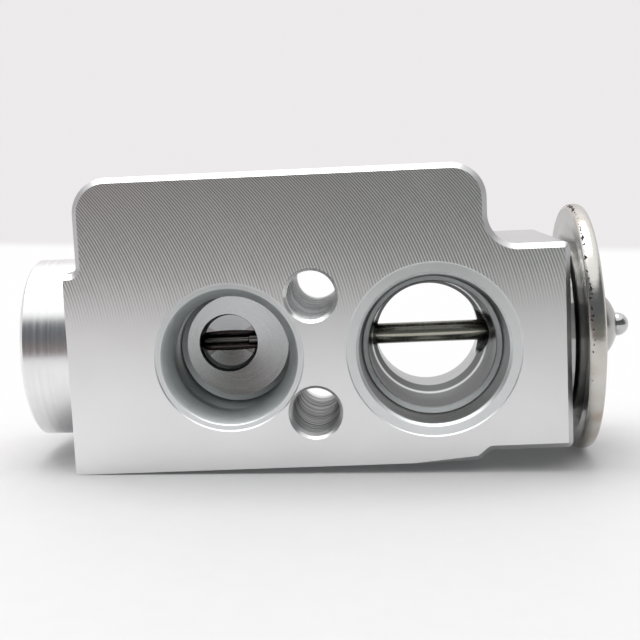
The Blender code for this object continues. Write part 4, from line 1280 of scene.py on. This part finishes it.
@dataclass
class PowerHead:
    """The power head: two pressed shells, rim weld and charging ball."""

    axis: Axis
    rim_x: float = 62.85 * MM
    rim_thickness: float = 2.05 * MM
    diameter: float = 32.0 * MM
    weld_width: float = 0.75 * MM
    flush: float = 0.08 * MM
    flange_width: float = 1.7 * MM
    sheet: float = 0.8 * MM
    diaphragm: float = 0.2 * MM
    cone_reach: float = 3.1 * MM
    lower_dish: float = 0.7 * MM
    collar: float = 18.6 * MM
    upper_dish: float = 0.6 * MM
    dish_run: float = 0.8 * MM
    dome_base: float = 9.4 * MM
    dome_face: float = 3.9 * MM
    dome_height: float = 3.4 * MM
    dome_bulge: float = 0.2
    ball_diameter: float = 3.05 * MM
    ball_standoff: float = 1.9 * MM
    lower_easing: float = 0.25 * MM
    upper_easing: float = 0.2 * MM
    seam_setback: float = 0.35 * MM
    ripples: int = 74
    ripple_depth: float = 0.02 * MM
    wobbles: int = 5
    wobble: float = 3.0
    rippled: float = 0.6
    outer: float = field(init=False)
    inner: float = field(init=False)
    rim_end: float = field(init=False)
    dome_end: float = field(init=False)

    def __post_init__(self) -> None:
        """Works out the widths and stations that the shells share."""
        self.outer = self.diameter / 2 - self.weld_width + self.flush
        self.inner = self.outer - self.flange_width
        self.rim_end = self.rim_x + self.rim_thickness
        self.dome_end = self.rim_end + self.upper_dish + self.dome_height

    def ringed(self, name: str, profile: list[Point]) -> bpy.types.Object:
        """A ring about the valve axis."""
        return turned(name, profile, self.axis.spindle, Steps.LARGE, ring=True)

    def lower_shell(self) -> bpy.types.Object:
        """The pressed cover on the block's side."""
        hole = self.collar / 2 + SLIDE
        flat = self.inner - self.cone_reach
        low = self.rim_x - self.lower_dish
        lean = self.sheet / 4
        under = [(low, hole), (low, flat), (self.rim_x, self.inner), (self.rim_x, self.outer)]
        over = [
            (self.rim_x + self.sheet, self.outer), (self.rim_x + self.sheet, self.inner - lean),
            (low + self.sheet, flat - lean), (low + self.sheet, hole),
        ]
        profile = eased(under, self.lower_easing, pieces=4) + eased(over, self.lower_easing, pieces=4)
        return self.ringed("lower_shell", profile)

    def dome(self, start: float, base: float, face: float, pieces: int = 20) -> list[Point]:
        """The bulging flank of the dome, without its ends."""
        crown = math.atan2(self.dome_height, base - face)
        flank = []
        for i in range(1, pieces):
            share = i / pieces
            bulge = math.sin(math.pi * share) * self.dome_height * self.dome_bulge
            station = start + self.dome_height * share + bulge * math.cos(crown)
            flank.append((station, base + (face - base) * share + bulge * math.sin(crown)))
        return flank

    def upper_shell(self) -> bpy.types.Object:
        """The pressed outer cover with its domed boss."""
        cover_x = self.rim_x + self.sheet + self.diaphragm + 2 * SEAT
        sheet = self.rim_end - cover_x
        dome_x = self.rim_end + self.upper_dish
        dish = self.inner - self.dish_run
        base, face = self.dome_base / 2, self.dome_face / 2
        seat = self.ball_diameter / 2 + SEAT
        ball_back = self.dome_end + self.ball_standoff - self.ball_diameter - SEAT
        rim = [(self.rim_end, self.outer), (self.rim_end, self.inner), (dome_x, dish), (dome_x, base)]
        return self.ringed("upper_shell", [
            *eased(rim, self.upper_easing, pieces=4), *self.dome(dome_x, base, face),
            (self.dome_end, face), (self.dome_end, seat), (ball_back, seat), (ball_back, seat / 3),
            (dome_x - sheet, seat / 3), (dome_x - sheet, dish - sheet / 4),
            (cover_x, self.inner - sheet / 4), (cover_x, self.outer),
        ])

    def rim_bead(self, pieces: int = 24) -> bpy.types.Object:
        """The rounded weld bead, its surface drawn in by shallow ripples."""
        outer = self.diameter / 2
        inner = outer - self.weld_width + SEAT
        half = self.rim_thickness / 2
        bulge = self.weld_width - 2 * SEAT
        turns = [math.pi * i / pieces for i in range(pieces + 1)]
        middle, root = self.rim_x + half, outer - bulge
        flank = [(middle - half * math.cos(t), root + bulge * math.sin(t)) for t in turns]
        bead = self.ringed("rim_bead", [(self.rim_x, inner), *flank, (self.rim_end, inner)])
        for vertex in bead.data.vertices:
            arm = Vector((0.0, vertex.co.y, vertex.co.z - self.axis.foot.z))
            if arm.length < outer - self.rippled * bulge:
                continue
            turn = math.atan2(arm.z, arm.y)
            shift = self.wobble * math.sin(self.wobbles * turn)
            ripple = (1 + math.sin(self.ripples * turn + shift)) / 2
            vertex.co -= arm.normalized() * ripple * self.ripple_depth
        return bead

    def charge_ball(self) -> bpy.types.Object:
        """The welded ball that closes the charge hole."""
        radius = self.ball_diameter / 2
        middle = Vector((self.dome_end + self.ball_standoff - radius, 0, 0))
        return ball("fill_ball", self.axis.foot + middle, radius)

    def build(self) -> None:
        """Makes the head's visible pieces and dresses them."""
        seam_x = self.axis.foot.x + self.rim_x + self.seam_setback
        weld = Sooty("sooty_weld", (0.62, 0.605, 0.57), 0.215, seam_x=seam_x)
        bright = self.axis.coaxial(BRIGHT_FINISH)
        for piece, finish, slot, node in (
            (self.lower_shell(), STAINLESS_FINISH, "stamped_stainless", "lower_cover"),
            (self.upper_shell(), STAINLESS_FINISH, "stamped_stainless", "upper_cover"),
            (self.rim_bead(), weld, "weld_stainless", "rim_weld"),
            (self.charge_ball(), bright, "bright_steel", "charge_ball"),
        ):
            settle(piece, "valve", slot, node, finish=finish)


@dataclass
class PlainNodes:
    """The nodes whose own shape is right, which only get a better material."""

    axis: Axis

    def build(self) -> None:
        """Gives each of them its finish."""
        bright = self.axis.coaxial(BRIGHT_FINISH)
        finishes = {
            "ball_carrier": bright,
            "damping_washer": SPRING_FINISH,
            "rod_seal": RUBBER_FINISH,
            "seal_retainer": bright,
            "diaphragm_pad": bright,
            "threaded_neck": NECK_FINISH,
            # The black rubber head gasket fills the dark gap under the head; its black is partly painted
            # shade.
            "head_gasket": RUBBER_FINISH,
            "diaphragm": STAINLESS_FINISH,
        }
        for name, finish in finishes.items():
            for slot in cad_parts[name].material_slots:
                slot.material = finish.material()


@dataclass
class Studio:
    """A pale floor, a soft ceiling, a dim room in front, and the camera.

    Args:
        contact_x: where the keel's foot end touches the floor.
        slope: how far the floor falls for each metre along the valve.
        clearance: how far the floor lies under the object.
        floor_half: half the floor's side.
        glow_from: how far behind the object the floor starts to shine.
        glow_full: where it shines in full.
        fades: where the floor starts to fade and where it is gone, behind, in front and at the sides.
        skew: how much sooner it fades at the head's side.
        lamp_place: the middle of the soft lamp.
        lamp_size: its length and width.
        lamp_turn_deg: how far it is turned about X and about Y.
        lamp_watts: its power.
        camera_place: where the photograph was taken from.
        camera_turn_deg: which way the camera looked.
        lens: its focal length in millimetres.
        sensor: its sensor's width in millimetres.
    """

    contact_x: float = 31.8 * MM
    slope: float = 0.029
    clearance: float = 0.02 * MM
    floor_half: float = 520.0 * MM
    glow_from: float = 6.0 * MM
    glow_full: float = 40.0 * MM
    fades: tuple[Point, ...] = ((360 * MM, 425 * MM), (-150 * MM, -200 * MM), (430 * MM, 500 * MM))
    skew: float = 0.33
    lamp_place: tuple[float, float, float] = (-0.05, 0.05, 0.55)
    lamp_size: Point = (0.5, 0.35)
    lamp_turn_deg: float = -6.0
    lamp_watts: float = 1.95
    camera_place: tuple[float, float, float] = (4.983 * MM, -152.725 * MM, 37.912 * MM)
    camera_turn_deg: tuple[float, float, float] = (82.6137, 2.6087, 2.1615)
    lens: float = 65.39
    sensor: float = 36.0

    ROOM = {
        "wall": (0.85, 0.825, 0.835),
        "ceiling": (1.20, 1.20, 1.20),
        "warm": (0.20, 0.165, 0.165),
        "cool": (0.12, 0.13, 0.14),
        "green": (0.19, 0.20, 0.18),
    }

    def floor(self) -> None:
        """A floor that touches the keel's foot end and the head's rim."""
        work = bmesh.new()
        bmesh.ops.create_grid(work, x_segments=8, y_segments=8, size=self.floor_half)
        for vertex in work.verts:
            vertex.co.z = (self.contact_x - vertex.co.x) * self.slope - self.clearance
        floor = finished("floor", work)
        floor.data.materials.append(self.card())

    def card(self) -> bpy.types.Material:
        """Pale card, lighter behind the object, and fading out at its edges."""
        made = bpy.data.materials.new("pale_card")
        made.use_nodes = True
        sketch = Sketch(made.node_tree)
        shader = made.node_tree.nodes["Principled BSDF"]
        where = sketch.place()
        x, y, _ = sketch.split(where)
        fibre = sketch.noise(where, scale=300.0, detail=4.0)
        sketch.feed(shader, {
            "Base Color": sketch.mix(fibre, (0.63, 0.625, 0.63), (0.66, 0.655, 0.66)),
            "Roughness": 0.6,
            "Emission Color": (0.96, 1.0, 1.0),
            "Emission Strength": 0.05,
        })
        ray = sketch.add("ShaderNodeLightPath")
        seen = ray["Is Camera Ray"].at_least(ray["Is Glossy Ray"]).at_least(ray["Is Transmission Ray"])
        behind = sketch.span(y, self.glow_from, self.glow_full) * seen
        glow = sketch.out("ShaderNodeEmission", {"Color": (1.0, 0.995, 1.0), "Strength": 1.0})
        card = Value(sketch, shader.outputs[0])
        lit = sketch.out("ShaderNodeMixShader", {0: behind, 1: card, 2: glow})
        ways = (x * self.skew + y, y, x.size())
        back, front, side = (sketch.span(way, *fade) for way, fade in zip(ways, self.fades))
        clear = sketch.out("ShaderNodeBsdfTransparent")
        gone = back.at_least(front).at_least(side)
        whole = sketch.out("ShaderNodeMixShader", {0: gone, 1: lit, 2: clear})
        sketch.feed(made.node_tree.nodes["Material Output"], {"Surface": whole})
        return made

    def room(self) -> None:
        """A pale wall behind, a white ceiling, and a dim room on the camera's side."""
        world = bpy.data.worlds.new("studio_room")
        bpy.context.scene.world = world
        world.use_nodes = True
        sketch = Sketch(world.node_tree)
        x, y, z = sketch.split(sketch.add("ShaderNodeTexCoord")["Generated"])
        tone = self.ROOM  # each span below is where one tone gives way to the next
        low = sketch.mix(sketch.span(x, -0.22, 0.05), tone["warm"], tone["green"])
        room = sketch.mix(sketch.span(z, 0.16, 0.26), low, tone["cool"])
        room = sketch.mix(sketch.span(z, 0.60, 0.74), room, tone["ceiling"])
        rear = sketch.mix(sketch.span(z, 0.45, 0.75), tone["wall"], tone["ceiling"])
        both = sketch.mix(sketch.span(y, -0.25, 0.25), room, rear)
        sketch.feed(world.node_tree.nodes["Background"], {"Color": both, "Strength": 1.0})

    def softbox(self) -> None:
        """One large soft lamp over the object."""
        data = bpy.data.lights.new("softbox", "AREA")
        data.shape = "RECTANGLE"
        data.size, data.size_y = self.lamp_size
        data.energy = self.lamp_watts
        lamp = linked("softbox", data)
        lamp.location = self.lamp_place
        lean = math.radians(self.lamp_turn_deg)
        lamp.rotation_euler = Euler((lean, lean, 0))

    def camera(self) -> None:
        """The camera, where the photograph was taken from."""
        data = bpy.data.cameras.new("camera")
        data.lens = self.lens
        data.sensor_width = self.sensor
        data.clip_start = 0.01
        data.clip_end = 10.0
        camera = linked("camera", data)
        camera.location = self.camera_place
        camera.rotation_euler = Euler([math.radians(a) for a in self.camera_turn_deg], "XYZ")
        bpy.context.scene.camera = camera

    def build(self) -> None:
        """Sets the stage."""
        self.camera()
        self.floor()
        self.room()
        self.softbox()
        bpy.context.scene.view_settings.view_transform = "Standard"


def main() -> None:
    """Builds the valve and its studio."""
    logging.basicConfig(level=logging.INFO, format="%(name)s: %(message)s")
    axis = Axis()
    block = MachinedBlock(axis)
    Studio().build()
    block.build()
    MountThreads(block).build()
    for assembly in (AdjustingScrew, SpringPack, Stem, PowerHead, PlainNodes):
        assembly(axis).build()


if __name__ == "__main__":
    main()
